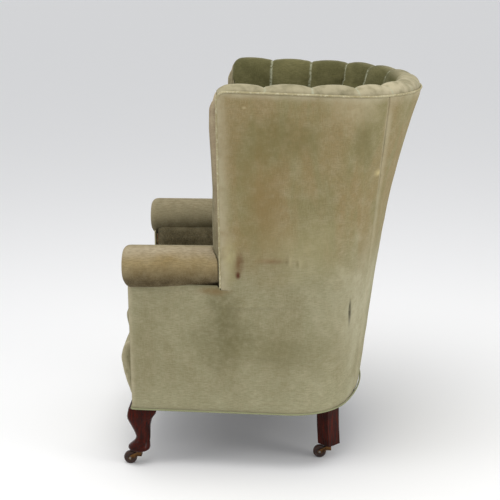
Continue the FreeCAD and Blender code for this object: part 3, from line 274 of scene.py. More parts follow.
def velvet(name, sheen_tint, roughness=0.88, sheen=0.12):
    return Finish(name, roughness, Sheen_Weight=sheen, Sheen_Tint=linear(*sheen_tint),
                  Specular_IOR_Level=0.12)


def velvet_pile(finish):
    """The cloth's own surface: level and upright threads, pile speckle and soft lying patches."""
    threads = finish.noise(1.0, 2.0, place=finish.stretched((70, 70, 620)))
    upright = finish.noise(1.0, 2.0, place=finish.stretched((480, 480, 60)))
    speckle = finish.noise(820, 2.0)
    lying = finish.noise(34, 3.0)
    finish.bump(lying, 0.0015, 0.3)
    finish.bump(threads, 0.0005, 0.6)
    finish.bump(speckle, 0.00035, 0.45)
    return threads, upright, speckle, lying


def pile_over(finish, base, dark, light):
    """The threads and the lying pile, laid over a base colour."""
    threads, upright, speckle, lying = velvet_pile(finish)
    base = finish.blend(base, light, lying, 0.40, 0.75, 0.0, 0.22)
    base = finish.blend(base, dark, threads, 0.38, 0.62, 0.0, 0.38)
    base = finish.blend(base, light, upright, 0.45, 0.68, 0.0, 0.13)
    return finish.blend(base, light, speckle, 0.35, 0.7, 0.0, 0.16)


def rubbed(finish, base, amount):
    """Bare ground where the attribute worn says that the cover has been rubbed; on the crest it is partly a
    painted highlight.
    """
    broken = finish.spread(finish.noise(30, 4.0), 0.25, 0.62, 0.45, 1.0)
    share = finish.times(finish.attribute("worn"), broken)
    return finish.mix(finish.times(share, amount), base, BLEACHED)


def marked(finish, base, marks):
    """Stains and bleached spots, and painted highlights and shade at small creases and in the tear. One noise
    makes all their outlines ragged, another thins them.
    """
    ragged = finish.spread(finish.noise(12, 4.0, 0.5, warp=0.1), 0.30, 0.70, 0.66, 1.34)
    thin = finish.spread(finish.noise(70, 3.0), 0.3, 0.6, 0.60, 1.0)
    for place, reach, stretch, colour, strength in marks:
        shape = finish.times(finish.spot(place, reach, stretch, ragged), strength)
        base = finish.mix(finish.times(shape, thin), base, linear(*colour))
    return base


def outside_velvet():
    finish = velvet("outside_velvet", (220, 218, 180))
    height = finish.axis("Z")
    streaks = finish.noise(1.0, 4.0, place=finish.stretched((13, 13, 3.5)), warp=0.3)
    broad = finish.noise(3.2, 3.0, warp=0.4)
    wandering = finish.maths("ADD", height, finish.times(broad, 0.26))
    base = finish.blend(MID_OLIVE, TAN, streaks, 0.36, 0.64)
    base = finish.blend(base, PALE_GREEN, wandering, 0.62, 0.84, 1.0, 0.0)
    base = finish.blend(base, DARK_OLIVE, streaks, 0.42, 0.72, 0.0, 0.35)
    hem = finish.spread(wandering, 0.30, 0.42, 0.55, 0.0)
    base = finish.mix(hem, base, linear(160, 158, 128))
    base = pile_over(finish, base, DARK_OLIVE, BLEACHED)
    base = marked(finish, base, MARKS)
    finish.colour(rubbed(finish, base, 1.0))
    return finish.material


# Stains, bleached spots, painted highlights and shade at small creases, and painted shade in the tear:
# a place on the chair, a reach, how far it is stretched, a colour, a strength
MARKS = [
    ((0.385, 0.020, 0.935), 0.190, (1.0, 1.0, 0.55), (108, 101, 62), 0.62),
    ((0.380, -0.030, 0.800), 0.160, (1.0, 0.5, 1.1), (128, 108, 66), 0.38),
    ((0.372, -0.015, 0.710), 0.130, (1.0, 0.5, 1.6), (126, 106, 66), 0.36),
    ((0.372, 0.110, 0.640), 0.130, (1.0, 1.1, 0.9), (160, 152, 114), 0.50),
    ((0.370, -0.105, 0.610), 0.060, (1.0, 0.5, 1.6), (170, 160, 116), 0.70),
    ((0.345, 0.225, 1.005), 0.110, (1.0, 1.0, 0.7), (178, 166, 134), 0.62),
    ((0.330, 0.250, 0.925), 0.085, (1.0, 0.6, 1.1), (110, 102, 66), 0.58),
    ((0.270, 0.310, 0.420), 0.200, (1.3, 1.0, 1.5), (192, 186, 160), 0.60),
    ((0.350, -0.120, 0.430), 0.150, (1.0, 0.6, 1.2), (96, 90, 58), 0.66),
    ((0.345, 0.020, 0.350), 0.190, (1.0, 1.6, 0.45), (110, 104, 70), 0.45),
    # Painted highlights and shade of small creases, dark and pale by turns.
    ((0.366, 0.048, 0.607), 0.012, (1.0, 0.45, 1.3), (104, 92, 60), 0.42),
    ((0.366, 0.057, 0.606), 0.011, (1.0, 0.4, 1.7), (180, 170, 134), 0.38),
    ((0.366, 0.076, 0.598), 0.012, (1.0, 0.4, 1.4), (110, 100, 66), 0.38),
    ((0.366, 0.084, 0.596), 0.011, (1.0, 0.4, 1.7), (178, 168, 134), 0.34),
    ((0.366, -0.078, 0.600), 0.034, (1.0, 0.50, 1.3), (100, 70, 44), 0.80),
    ((0.364, -0.082, 0.566), 0.012, (1.0, 0.6, 1.1), (78, 34, 20), 0.95),
    ((0.366, 0.008, 0.606), 0.022, (1.0, 2.0, 0.50), (120, 92, 64), 0.58),
    ((0.401, -0.060, 1.018), 0.011, (1.0, 0.9, 0.6), (190, 176, 136), 0.65),
    ((0.265, 0.290, 0.825), 0.014, (1.4, 1.4, 0.8), (206, 190, 140), 0.70),
    ((0.342, -0.328, 0.343), 0.014, (1.0, 1.5, 0.4), (70, 64, 44), 0.80),
    # Painted shade inside the slit of the tear.
    ((0.290, 0.218, 0.450), 0.020, (0.8, 0.26, 2.6), (16, 14, 9), 1.0),
    ((0.358, -0.150, 0.520), 0.060, (1.0, 1.2, 0.25), (120, 94, 58), 0.60),
]
OUTSIDE_VELVET = outside_velvet()
print("marks on the cover:", len(MARKS))

# %% [markdown]
# Inside, out of the sun, the same velvet kept its dark olive. The seams between the channels are
# rubbed to the pale ground of the cloth. The attribute seam is 1 in the bottom of a seam and falls to
# 0 on the crown.

# %% Inside velvet
# Painted shade: these inside colours are darker than the cloth's own olive, for the shade inside the barrel.
INSIDE_DARK = linear(74, 72, 42)
INSIDE_MID = linear(98, 94, 60)
SEAM_PALE = linear(164, 166, 142)


def channel_velvet():
    finish = velvet("channel_velvet", (205, 205, 175), 0.86, 0.14)
    patches = finish.noise(9, 4.0, warp=0.5)
    base = finish.blend(INSIDE_DARK, INSIDE_MID, patches, 0.35, 0.66)
    base = pile_over(finish, base, linear(58, 56, 32), linear(126, 121, 86))
    base = rubbed(finish, base, 1.0)
    dashes = finish.spread(finish.noise(140, 3.0), 0.36, 0.58, 0.15, 0.9)
    thread = finish.times(finish.attribute("seam"), dashes)
    finish.colour(finish.mix(thread, base, SEAM_PALE))
    return finish.material


CHANNEL_VELVET = channel_velvet()

# %% [markdown]
# An arm is pale along its top, partly rubbed and partly a painted highlight, tan outside, and dark brown
# underneath as painted shade under the roll. Its inner side, out of the light, has kept the olive of the
# seat and darkens towards its bottom as painted shade. The strip round a wing is a warmer, greyer tan,
# and its inner side goes to a darker olive as painted shade.

# %% Arm and wing strip velvet


def arm_velvet():
    finish = velvet("arm_velvet", (220, 214, 185))
    height = finish.axis("Z")
    out = finish.maths("ABSOLUTE", finish.axis("X"))
    patches = finish.noise(14, 4.0, warp=0.4)
    unsteady = finish.maths("ADD", height, finish.times(patches, 0.030))
    base = finish.blend(linear(136, 116, 76), linear(148, 130, 92), patches, 0.35, 0.65)
    inner = finish.spread(out, 0.300, 0.340, 1.0, 0.0)
    # Painted shade: the inner side's olive darkens towards its bottom, where the roll turns under.
    olive_side_and_shade = finish.blend(linear(48, 43, 28), linear(134, 126, 100), unsteady, 0.545, 0.615)
    base = finish.mix(inner, base, olive_side_and_shade)
    # Painted shade: the outer side goes to dark brown on the roll's underside.
    low = finish.spread(unsteady, 0.550, 0.618, 0.97, 0.0)
    outer_underside_shade = finish.times(low, finish.spread(inner, 0, 1, 1.0, 0.0))
    base = finish.mix(outer_underside_shade, base, linear(46, 31, 11))
    # Paler along the top: partly rubbed, partly a painted highlight where light falls from above.
    top = finish.spread(unsteady, 0.618, 0.650, 0.0, 0.85)
    base = finish.mix(finish.times(top, finish.spread(inner, 0, 1, 1.0, 0.12)), base,
                      linear(168, 156, 134))
    base = pile_over(finish, base, linear(92, 78, 48), linear(164, 152, 120))
    finish.colour(rubbed(finish, base, 0.1))
    return finish.material


def strip_velvet():
    finish = velvet("strip_velvet", (220, 214, 185))
    patches = finish.noise(20, 4.0, warp=0.4)
    base = finish.blend(linear(136, 117, 92), linear(156, 140, 112), patches, 0.35, 0.65)
    out = finish.maths("ABSOLUTE", finish.axis("X"))
    # Painted shade: the strip's inner side, towards the seat, goes to a darker olive.
    base = finish.blend(base, linear(84, 80, 50), out, 0.352, 0.388, 0.92, 0.0)
    base = pile_over(finish, base, linear(110, 94, 70), BLEACHED)
    finish.colour(rubbed(finish, base, 0.8))
    return finish.material


ARM_VELVET = arm_velvet()
STRIP_VELVET = strip_velvet()

# %% [markdown]
# The remaining cloths are the velvet-covered cord, the hessian of the deck and webbing, and the black
# lining under the seat. Their threads are finer bands crossed at right angles.

# %% Other cloths


def piping_velvet():
    finish = velvet("piping_velvet", (225, 222, 200))
    patches = finish.noise(24, 4.0)
    rubbed = finish.noise(160, 3.0)
    base = finish.blend(linear(150, 139, 104), linear(172, 163, 130), patches, 0.35, 0.65)
    base = finish.blend(base, linear(205, 200, 172), rubbed, 0.45, 0.75, 0.0, 0.6)
    low = finish.spread(finish.axis("Z"), 0.18, 0.30, 1.0, 0.0)
    base = finish.mix(low, base, linear(142, 144, 110))
    finish.colour(base)
    finish.bump(rubbed, 0.0006, 0.6)
    finish.bump(finish.noise(900, 2.0), 0.0003, 0.5)
    return finish.material


def crossed_threads(finish, pitch):
    """Two sets of threads on the level plane, as wave bands along X and along Y."""
    bands = []
    for turn in (0.0, math.pi / 2):
        place = finish.stretched((1, 1, 1), (0, 0, turn))
        wave = finish.add("ShaderNodeTexWave", Vector=place, Scale=1 / (pitch * 6.2832), Distortion=0.6,
                          Detail=1.0)
        bands.append(wave.outputs["Fac"])
    return finish.maths("MAXIMUM", bands[0], bands[1])


def plain_cloth(name, dark, light, pitch, depth):
    finish = Finish(name, 0.92)
    threads = crossed_threads(finish, pitch)
    patches = finish.noise(18, 4.0)
    base = finish.blend(dark, light, threads, 0.1, 0.9)
    base = finish.blend(base, dark, patches, 0.4, 0.7, 0.0, 0.3)
    finish.colour(base)
    finish.bump(threads, depth, 0.6)
    return finish.material


PIPING = piping_velvet()
HESSIAN = plain_cloth("hessian", linear(132, 106, 70), linear(184, 158, 116), 0.0022, 0.0006)
BLACK_CLOTH = plain_cloth("black_cloth", linear(20, 19, 18), linear(46, 44, 42), 0.0012, 0.0003)

# %% [markdown]
# The legs are mahogany under old French polish: red-brown with darker grain running up the leg and a
# soft gloss. The hidden frame is plain beech.

# %% Woods


def wood(name, dark, light, along, coat, roughness, gloss=0.3):
    finish = Finish(name, roughness, Coat_Weight=coat, Specular_IOR_Level=gloss)
    scale = [240.0] * 3
    scale["XYZ".index(along)] = 14.0
    fibres = finish.noise(1.0, 5.0, 0.65, finish.stretched(tuple(scale)), warp=0.35)
    figure = finish.noise(16, 3.0, warp=1.2)
    base = finish.blend(dark, light, fibres, 0.3, 0.7)
    base = finish.blend(base, dark, figure, 0.35, 0.7, 0.0, 0.55)
    finish.colour(base)
    finish.rough(finish.spread(fibres, 0.2, 0.8, roughness + 0.1, roughness - 0.05))
    finish.bump(fibres, 0.0003, 0.5)
    return finish.material


MAHOGANY = wood("mahogany", linear(22, 5, 2), linear(80, 21, 7), "Z", 0.05, 0.24, gloss=0.1)
BEECH = wood("beech", linear(158, 120, 80), linear(204, 168, 124), "Y", 0.0, 0.7)
CASTOR_WOOD = wood("castor_wood", linear(32, 20, 15), linear(78, 48, 35), "Y", 0.2, 0.45)

# %% [markdown]
# The castors are brass gone brown, and their pins are dull steel.

# %% Metals


def old_metal(name, dark, light, roughness):
    finish = Finish(name, roughness, Metallic=0.85)
    tarnish = finish.noise(90, 5.0, 0.65, warp=0.6)
    base = finish.blend(dark, light, tarnish, 0.35, 0.65)
    finish.colour(base)
    finish.rough(finish.spread(tarnish, 0.3, 0.7, roughness + 0.18, roughness - 0.1))
    finish.bump(tarnish, 0.0004, 0.5)
    return finish.material


OLD_BRASS = old_metal("old_brass", linear(44, 28, 18), linear(112, 78, 42), 0.46)
DULL_STEEL = old_metal("dull_steel", linear(66, 60, 55), linear(142, 136, 128), 0.45)

# %% [markdown]
# ## The outline of the barrel
# The frame of the chair is a barrel in plan: a straight side, a tight shoulder and a wide rear arc.
# It leans back and opens as it rises. The same rule places every cover, so it is written once.

# %% Barrel
HEM = 0.166
SEAT = 0.345
ARM_TOP = 0.638
ROLL_RADIUS = 0.057
ROLL_BOTTOM = ARM_TOP - 2 * ROLL_RADIUS
FRONT = -0.384
FACING_X = 0.318
WING = -0.128
REAR_PIPING = 1.026
WING_PIPING = 1.058
REAR_AT_TOP = 0.4215
JOIN = 1.012
CHANNELS = 13
CHANNEL_DEPTH = 0.014


class Barrel:
    """Outline at one height; share 0 is the left wing's front edge, 1 the middle rear, 2 the right wing."""

    def __init__(self, z):
        rise = (z - HEM) / (REAR_PIPING - HEM)
        self.side = 0.352 + rise * 0.020
        self.shoulder = 0.060 + rise * 0.110
        self.rear = 0.2555 + rise * 0.104 + max(rise, 0.0) ** 3.3 * 0.062
        low_splay = -math.atan2(0.034, 0.444)
        self.splay = low_splay + rise * (math.radians(7) - low_splay)
        self.turn = math.radians(68 - 18 * rise)
        shift = (self.side - self.rear + self.shoulder) / (math.cos(self.turn) + math.sin(self.turn) - 1)
        self.shoulder_radius = self.side - shift * math.cos(self.turn)
        self.rear_radius = self.shoulder_radius + shift
        self.shoulder_x = shift * math.cos(self.turn)
        self.rear_centre = self.rear - self.rear_radius
        self.bend_y = self.shoulder + self.shoulder_radius * math.sin(self.splay)
        self.straight = (self.bend_y - WING) / math.cos(self.splay)
        self.arc = self.shoulder_radius * (self.turn - self.splay)
        self.half = self.straight + self.arc + self.rear_radius * (math.pi / 2 - self.turn)
        seam = math.acos((0.150 + 0.148 * max(rise, 0.0) ** 1.6) / self.rear_radius)
        self.seam_share = (self.straight + self.arc + self.rear_radius * (seam - self.turn)) / self.half

    def at(self, share, inset=0.0):
        """Point and outward direction in plan."""
        if share > 1:
            (x, y), (nx, ny) = self.at(2 - share, inset)
            return (-x, y), (-nx, ny)
        along = share * self.half
        if along <= self.straight:
            reach = self.straight - along
            x = self.shoulder_x + (self.shoulder_radius - inset) * math.cos(self.splay)
            y = self.shoulder + (self.shoulder_radius - inset) * math.sin(self.splay)
            x += reach * math.sin(self.splay)
            y -= reach * math.cos(self.splay)
            if share < 0.02:
                x += (y - WING) * math.tan(self.splay) * (1 - share / 0.02)
                y += (WING - y) * (1 - share / 0.02)
            return (x, y), (math.cos(self.splay), math.sin(self.splay))
        turned = self.splay + (along - self.straight) / self.shoulder_radius
        if turned <= self.turn:
            radius = self.shoulder_radius - inset
            return ((self.shoulder_x + radius * math.cos(turned), self.shoulder + radius * math.sin(turned)),
                    (math.cos(turned), math.sin(turned)))
        turned = self.turn + (along - self.straight - self.arc) / self.rear_radius
        radius = self.rear_radius - inset
        return ((radius * math.cos(turned), self.rear_centre + radius * math.sin(turned)),
                (math.cos(turned), math.sin(turned)))

    def on_side(self, y, inset=0.0):
        """Point of the straight side at this y."""
        x = self.shoulder_x + (self.shoulder_radius - inset) * math.cos(self.splay)
        start = self.shoulder + (self.shoulder_radius - inset) * math.sin(self.splay)
        return (x + (start - y) * math.tan(self.splay), y)


def piping_height(y):
    return WING_PIPING - (WING_PIPING - REAR_PIPING) * (y - WING) / (REAR_AT_TOP - WING)


def valley_height(y):
    along = (y - WING) / (REAR_AT_TOP - WING)
    return piping_height(y) + 0.010 + along * 0.016


def settled(share, inset=0.0, lift=0.0):
    """Point of the wall on the sloping plane of the piping."""
    z = WING_PIPING
    for _ in range(10):
        (x, y), _normal = Barrel(z).at(share, inset)
        z = piping_height(y) + lift
    return Vector((x, y, z))


print("length of the wall at the piping, m:", round(2 * Barrel(1.04).half, 3))

# %% [markdown]
# ## Helpers for soft pieces
# A cover starts as a flat grid whose vertices are carried onto the chair, the way cloth is laid over a
# frame. A stuffed piece starts from the solid it stands for: its copy is rebuilt from small even
# faces, blown up gently as cloth with air in it, and smoothed.

# %% Piece helpers


def finished(name, mesh, body, finish, replaced):
    """Put a mesh into the scene as a piece of the chair."""
    piece = bpy.data.objects.new(name, mesh)
    bpy.context.scene.collection.objects.link(piece)
    mesh.materials.clear()
    mesh.materials.append(finish)
    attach(piece, body)
    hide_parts(*replaced)
    return piece


def laid_grid(columns, rows, lay, attributes):
    """A grid carried to lay(u, v), with u and v from 0 to 1. Attributes are functions of u and v."""
    shape = bmesh.new()
    for label in attributes:
        shape.verts.layers.float.new(label)
    layers = {label: shape.verts.layers.float[label] for label in attributes}
    loose = bmesh.ops.create_grid(shape, x_segments=columns, y_segments=rows, size=0.5)
    for vertex in loose["verts"]:
        u, v = vertex.co.x + 0.5, vertex.co.y + 0.5
        for label, layer in layers.items():
            vertex[layer] = attributes[label](u, v)
        vertex.co = lay(u, v)
    return shape


def face_out(shape, inside):
    """Turn the faces so that they look away from a point inside."""
    looking = sum(face.normal.dot(face.calc_center_median() - inside) * face.calc_area()
                  for face in shape.faces)
    if looking < 0:
        bmesh.ops.reverse_faces(shape, faces=shape.faces)


def shaded(mesh):
    """Smooth shading over the whole mesh."""
    for polygon in mesh.polygons:
        polygon.use_smooth = True
    return mesh


def to_mesh(shape, name):
    mesh = bpy.data.meshes.new(name)
    shape.normal_update()
    shape.to_mesh(mesh)
    shape.free()
    return shaded(mesh)


def wavering(place, size, amount):
    """A smooth push in or out that varies over about this size."""
    return noise.noise(Vector(place) / size) * amount


def bell(value, middle, width):
    return math.exp(-((value - middle) / width) ** 2)


def ramp(value, start, end):
    """0 up to start, 1 from end on, and a straight line between them. Start may be above end."""
    return min(max((value - start) / (end - start), 0), 1)


def eased(part):
    return part * part * (3 - 2 * part)


# %% [markdown]
# ## The outside covers
# Each side is one cloth, stretched over arm and wing together and pulled in at its edges. Long
# shallow waves run up it, and a few creases stand where arm and wing pull against each other. Two
# grids share the row of vertices under the roll and are merged there. At the wing's upper front the
# cloth turns a small round corner, which maps a square corner of the grid onto a quarter disc.

# %% Side covers
COVER = 0.0045
CORNER = 0.020
ARM_COLUMNS = 66
WALL_COLUMNS = 140
CREASES = [
    ((-0.005, 0.6045), (0.030, 0.0045), 0.0026, 0.10),
    ((0.040, 0.6080), (0.026, 0.0040), 0.0022, -0.06),
    ((-0.045, 0.4775), (0.095, 0.0035), 0.0024, 0.01),
    ((-0.045, 0.4700), (0.095, 0.0040), -0.0016, 0.01),
    ((0.056, 0.612), (0.006, 0.018), 0.0028, 0.8),
    ((0.078, 0.598), (0.007, 0.020), 0.0026, 0.7),
    ((0.096, 0.604), (0.006, 0.018), -0.0020, 0.7),
    ((-0.092, 0.604), (0.007, 0.030), 0.0034, 0.2),
    ((-0.075, 0.606), (0.009, 0.034), -0.0022, 0.1),
    ((-0.100, 0.660), (0.012, 0.060), -0.0018, 0.0),
    ((0.040, 0.330), (0.160, 0.010), 0.0016, -0.04),
]


def rounded_corner(a, b, reach):
    """Distances from two edges, moved so that the square corner between them is a round one."""
    if a >= reach or b >= reach:
        return a, b
    across, down = reach - a, reach - b
    length = math.hypot(across, down)
    if length == 0:
        return a, b
    pull = max(across, down) / length
    return reach - across * pull, reach - down * pull


def crease_relief(y, z):
    """Sum of the creases: place, half size along and across, height, slant."""
    total = 0.0
    for (at_y, at_z), (long, tall), height, slant in CREASES:
        dy = y - at_y
        dz = z - at_z - slant * dy
        total += height * math.exp(-(dy / long) ** 2 - (dz / tall) ** 2)
    return total


def edge_pull(distance, reach, depth):
    """How far the cloth dips where it is drawn to its sewn edge."""
    return -depth * math.exp(-(distance / reach) ** 2)


def soft_waves(x, y, z):
    """Shallow fullness of the cloth, longer up and down than along."""
    return wavering((x * 0.6, y, z * 0.45), 0.10, 0.0024) + wavering((x, y, z * 0.7), 0.038, 0.0008)


def tear(x, z):
    """The rear of the side has split for a finger's length."""
    return -0.0070 * bell(z, 0.450, 0.030) * bell(x, 0.2895, 0.0032)


def climbed(share_in, v, low, z):
    """Height at v between low and the piping, and the piping's own height there, found from a first z."""
    for _ in range(8):
        plan = Barrel(z)
        (_x, y), _n = plan.at(share_in(plan))
        top = piping_height(y)
        z = low + v * (top - low)
    return z, top


def upper_point(u, v):
    """Over the roll: from the wing's front edge (u = 0) round to the rear seam (u = 1)."""
    z, top = climbed(lambda plan: u * plan.seam_share, v, ROLL_BOTTOM, WING_PIPING)
    plan = Barrel(z)
    (x, y), (nx, ny) = plan.at(u * plan.seam_share)
    length = plan.half * plan.seam_share
    gap = top - z
    if y - WING < CORNER and gap < CORNER:
        inward, gap = rounded_corner(y - WING, gap, CORNER)
        z = top - gap
        x, y = Barrel(z).on_side(WING + inward)
    relief = soft_waves(x, y, z) + crease_relief(y, z)
    relief += edge_pull(u * length, 0.010, 0.0012) + edge_pull((1 - u) * length, 0.007, 0.0030)
    relief += edge_pull(top - z, 0.012, 0.0016)
    return x + nx * relief, y + ny * relief, z


def lower_point(column, v):
    """Under the roll: from the front of the arm round to the rear seam."""
    z = HEM + v * (ROLL_BOTTOM - HEM)
    plan = Barrel(z)
    along_arm = WING - FRONT
    length = plan.half * plan.seam_share
    if column < ARM_COLUMNS:
        part = column / ARM_COLUMNS
        front_x = FACING_X + v * 0.012
        (wing_x, _y), _n = plan.at(0.0)
        x, y = front_x + (wing_x - front_x) * part, FRONT + along_arm * part
        nx, ny = 1.0, 0.0
        relief = edge_pull(y - FRONT, 0.008, 0.0018)
        tucked = 0.012 * min((WING - y) / 0.012, 1) * max(0, 1 - (1 - v) / 0.03)
        inset = 0.004 * tucked / 0.012
    else:
        share = (column - ARM_COLUMNS) / WALL_COLUMNS
        (x, y), (nx, ny) = plan.at(share * plan.seam_share)
        relief = edge_pull((1 - share) * length, 0.007, 0.0030)
        tucked = inset = 0.0
    relief += soft_waves(x, y, z) + crease_relief(y, z) + edge_pull(z - HEM, 0.010, 0.0015) + tear(x, z)
    return x + nx * (relief - inset), y + ny * relief, z + tucked


def worn_edges(u, v, sides, tops):
    """Wear along the edges of a cover: the share of it next to each edge that is rubbed."""
    worn = max(bell(u, 0, sides[0]), bell(u, 1, sides[1]) * 0.8)
    worn = max(worn, bell(v, 0, tops[0]) if tops[0] else 0, bell(v, 1, tops[1]) if tops[1] else 0)
    return worn * 0.7


def thickened(shape, name, replaced):
    """Give a cover its thickness, inwards, and put it into the scene."""
    bmesh.ops.recalc_face_normals(shape, faces=shape.faces)
    face_out(shape, Vector((0, 0, 0.6)))
    bmesh.ops.solidify(shape, geom=shape.faces, thickness=COVER)
    mesh = to_mesh(shape, name)
    piece = finished(name, mesh, "chair", OUTSIDE_VELVET, replaced)
    return piece


def side_cover(hand, side):
    columns = ARM_COLUMNS + WALL_COLUMNS

    def low(u, v):
        x, y, z = lower_point(round(u * columns), v)
        return Vector((side * x, y, z))

    def high(u, v):
        x, y, z = upper_point(u, v)
        return Vector((side * x, y, z))

    shape = laid_grid(columns, 96, low, {"worn": lambda u, v: worn_edges(u, v, (0.012, 0.012), (0.02, 0.0))})
    upper = laid_grid(WALL_COLUMNS, 140, high,
                      {"worn": lambda u, v: worn_edges(u, v, (0.045, 0.02), (0.0, 0.022))})
    mesh = to_mesh(upper, "upper")
    shape.from_mesh(mesh)
    bmesh.ops.remove_doubles(shape, verts=shape.verts, dist=0.00003)
    return thickened(shape, f"side_cover_{hand}", [f"outside_wing_panel_{hand}", f"outside_arm_panel_{hand}"])


for hand, side in (("left", 1), ("right", -1)):
    cover = side_cover(hand, side)
    print(cover.name, "faces", len(cover.data.polygons))

# %% [markdown]
# The back is one wide cloth between the two rear seams, from the hem to the top piping.

# %% Back cover


def back_lay(u, v):
    def share_in(plan):
        return plan.seam_share + u * (2 - 2 * plan.seam_share)

    z, top = climbed(share_in, v, HEM, REAR_PIPING)
    plan = Barrel(z)
    (x, y), (nx, ny) = plan.at(share_in(plan))
    length = plan.half * (2 - 2 * plan.seam_share)
    relief = soft_waves(x + 3.1, y, z) + edge_pull(min(u, 1 - u) * length, 0.007, 0.0030)
    relief += edge_pull(top - z, 0.012, 0.0016) + edge_pull(z - HEM, 0.010, 0.0015)
    return Vector((x + nx * relief, y + ny * relief, z))


def back_wear(u, v):
    return worn_edges(u, v, (0.03, 0.03), (0.012, 0.02)) * 0.8


thickened(laid_grid(90, 190, back_lay, {"worn": back_wear}), "back_cover", ["outside_back_panel"])

# %% [markdown]
# ## The channelled lining
# The inside is one cloth sewn into upright channels, each stuffed by hand, and the channels turn over
# the top as a scalloped crest. A remesh would wipe out the narrow seams, so this one is laid as a
# grid: across the grid each channel is a tall rounded wave that meets the next in a sharp seam, and
# up the grid the cloth climbs the wall, rolls over the crest and goes down behind to its tacking.

# %% Channels
WALL_TOP = 0.078
WALL_SEAT = 0.094
WALL_SWELL = 0.700
ARM_BLEND = 0.026
BACKING = 0.0385
CREST_CROWN = 0.009
FRONT_ROWS = 0.62
CREST_ROWS = 0.90
TIP_FRONT = WING - 0.0135
TIP_RADIUS = 0.036


def crown_of(across):
    """Height of the stuffing across one channel, 0 at its seams and 1 in the middle."""
    return math.sin(math.pi * across) ** 0.62


def valley_depth(share, z):
    extra = (WALL_SEAT - WALL_TOP) * ramp(z, WALL_SWELL, SEAT) ** 2
    sideways = max(0, 1 - min(share, 2 - share) / 0.3) ** 2
    fade = ramp(z, ARM_TOP + 0.150, ARM_TOP)
    extra += ARM_BLEND * sideways * ramp(z, SEAT, ARM_TOP) * eased(fade)
    return WALL_TOP + extra - CHANNEL_DEPTH


def channel_reach(share, z, crown, number):
    """How far a channel stands off the outside of the wall; no two are stuffed quite alike."""
    fullness = 0.9 + 0.12 * noise.noise(Vector((number * 1.7, z * 5, 0)))
    return valley_depth(share, z) + CHANNEL_DEPTH * crown * fullness


def corner_drop(y, z):
    """How far the top comes down at the wing's front, so that it ends in a round corner."""
    behind = TIP_FRONT + TIP_RADIUS - y
    if behind <= 0 or z <= JOIN:
        return 0.0
    fall = TIP_RADIUS - math.sqrt(max(TIP_RADIUS ** 2 - behind ** 2, 0))
    return fall * ramp(z, JOIN, WING_PIPING)


def lining_lay(u, v):
    share = 2 * u
    across = (u * CHANNELS) % 1.0
    crown = crown_of(across) if 0 < u < 1 else 0.0
    number = int(min(u * CHANNELS, CHANNELS - 1))
    if v <= FRONT_ROWS:
        z = SEAT + 0.001 + v / FRONT_ROWS * (JOIN - SEAT)
        plan = Barrel(z)
        depth = channel_reach(share, z, crown, number)
        (x, y), (nx, ny) = plan.at(share, depth)
        wrinkle = 0.0011 * noise.noise(Vector((x * 22, y * 22, z * 60))) * crown
        return Vector((x + nx * wrinkle, y + ny * wrinkle, z))
    top_point = settled(share)
    near_wing = max(0.0, 1 - min(share, 2 - share) / 0.045)
    plan = Barrel(top_point.z)
    (x0, y0), (nx, ny) = plan.at(share)
    low_plan = Barrel(JOIN)
    (xj, yj), _n = low_plan.at(share)
    lean = (xj - x0) * nx + (yj - y0) * ny
    peak = valley_height(y0) + CREST_CROWN * crown
    inner = channel_reach(share, JOIN, crown, number)
    outer = 0.0045 - 0.0035 * near_wing
    peak -= 0.0010 * near_wing ** 2
    if v <= CREST_ROWS:
        turn = math.pi * (v - FRONT_ROWS) / (CREST_ROWS - FRONT_ROWS)
        inset = (inner + outer) / 2 + (inner - outer) / 2 * math.cos(turn)
        base = JOIN + (top_point.z + 0.001 - JOIN) * (1 - math.cos(turn)) / 2
        z = base + (peak - base) * math.sin(turn) ** 0.82
        gather = 0.0007 * math.sin(across * math.pi * 10 + number) * math.sin(turn) * (1 - crown)
        z += gather
    else:
        down = (v - CREST_ROWS) / (1 - CREST_ROWS)
        legs = ((0.0, outer, top_point.z + 0.001), (0.2, 0.0065, JOIN), (0.3, BACKING, JOIN - 0.002),
                (0.9, BACKING, SEAT + 0.001),
                (1.0, channel_reach(share, SEAT + 0.001, crown, number), SEAT + 0.001))
        for (d0, i0, z0), (d1, i1, z1) in zip(legs, legs[1:]):
            if d0 <= down <= d1 + 1e-9:
                part = (down - d0) / (d1 - d0)
                inset = i0 + (i1 - i0) * part
                z = z0 + (z1 - z0) * part
                break
        if z < JOIN:
            (x, y), _n = Barrel(z).at(share, inset)
            return Vector((x, y, z))
    slope = (top_point.z - z) / (top_point.z - JOIN) if z < top_point.z else 0
    reach = slope * lean - inset
    if u == 0 or u == 1:
        side = 1 if u == 0 else -1
        return Vector((side * (abs(x0) + reach / max(abs(nx), 0.5)), WING, z - corner_drop(WING, z)))
    y = y0 + ny * reach
    return Vector((x0 + nx * reach, y, z - corner_drop(y, z)))


def seam_line(u, v):
    across = (u * CHANNELS) % 1.0
    return math.exp(-(min(across, 1 - across) / 0.020) ** 2)


def crest_wear_and_highlight(u, v):
    """The crest is paler on its top, partly bleached and partly a painted highlight; the far wing's crest
    less so.
    """
    if v < FRONT_ROWS * 0.97:
        return 0.0
    turn = (v - FRONT_ROWS) / (CREST_ROWS - FRONT_ROWS)
    far = ramp(u, 0.50, 0.66)
    start = 0.05 + 0.30 * far
    shoulder = 0.28 * bell(u, 0.33, 0.10)
    return ramp(turn, start, start + 0.30) * (0.62 - 0.30 * far + shoulder)


def make_lining():
    shape = laid_grid(CHANNELS * 24, 150, lining_lay, {"seam": seam_line, "worn": crest_wear_and_highlight})
    bmesh.ops.remove_doubles(shape, verts=shape.verts, dist=0.00005)
    bmesh.ops.holes_fill(shape, edges=[edge for edge in shape.edges if edge.is_boundary], sides=0)
    bmesh.ops.recalc_face_normals(shape, faces=shape.faces)
    mesh = to_mesh(shape, "channel_lining")
    piece = finished("channel_lining", mesh, "chair", CHANNEL_VELVET,
                     ["back_channels", "crest_roll"])
    return piece


LINING = make_lining()
print("faces in the lining:", len(LINING.data.polygons))
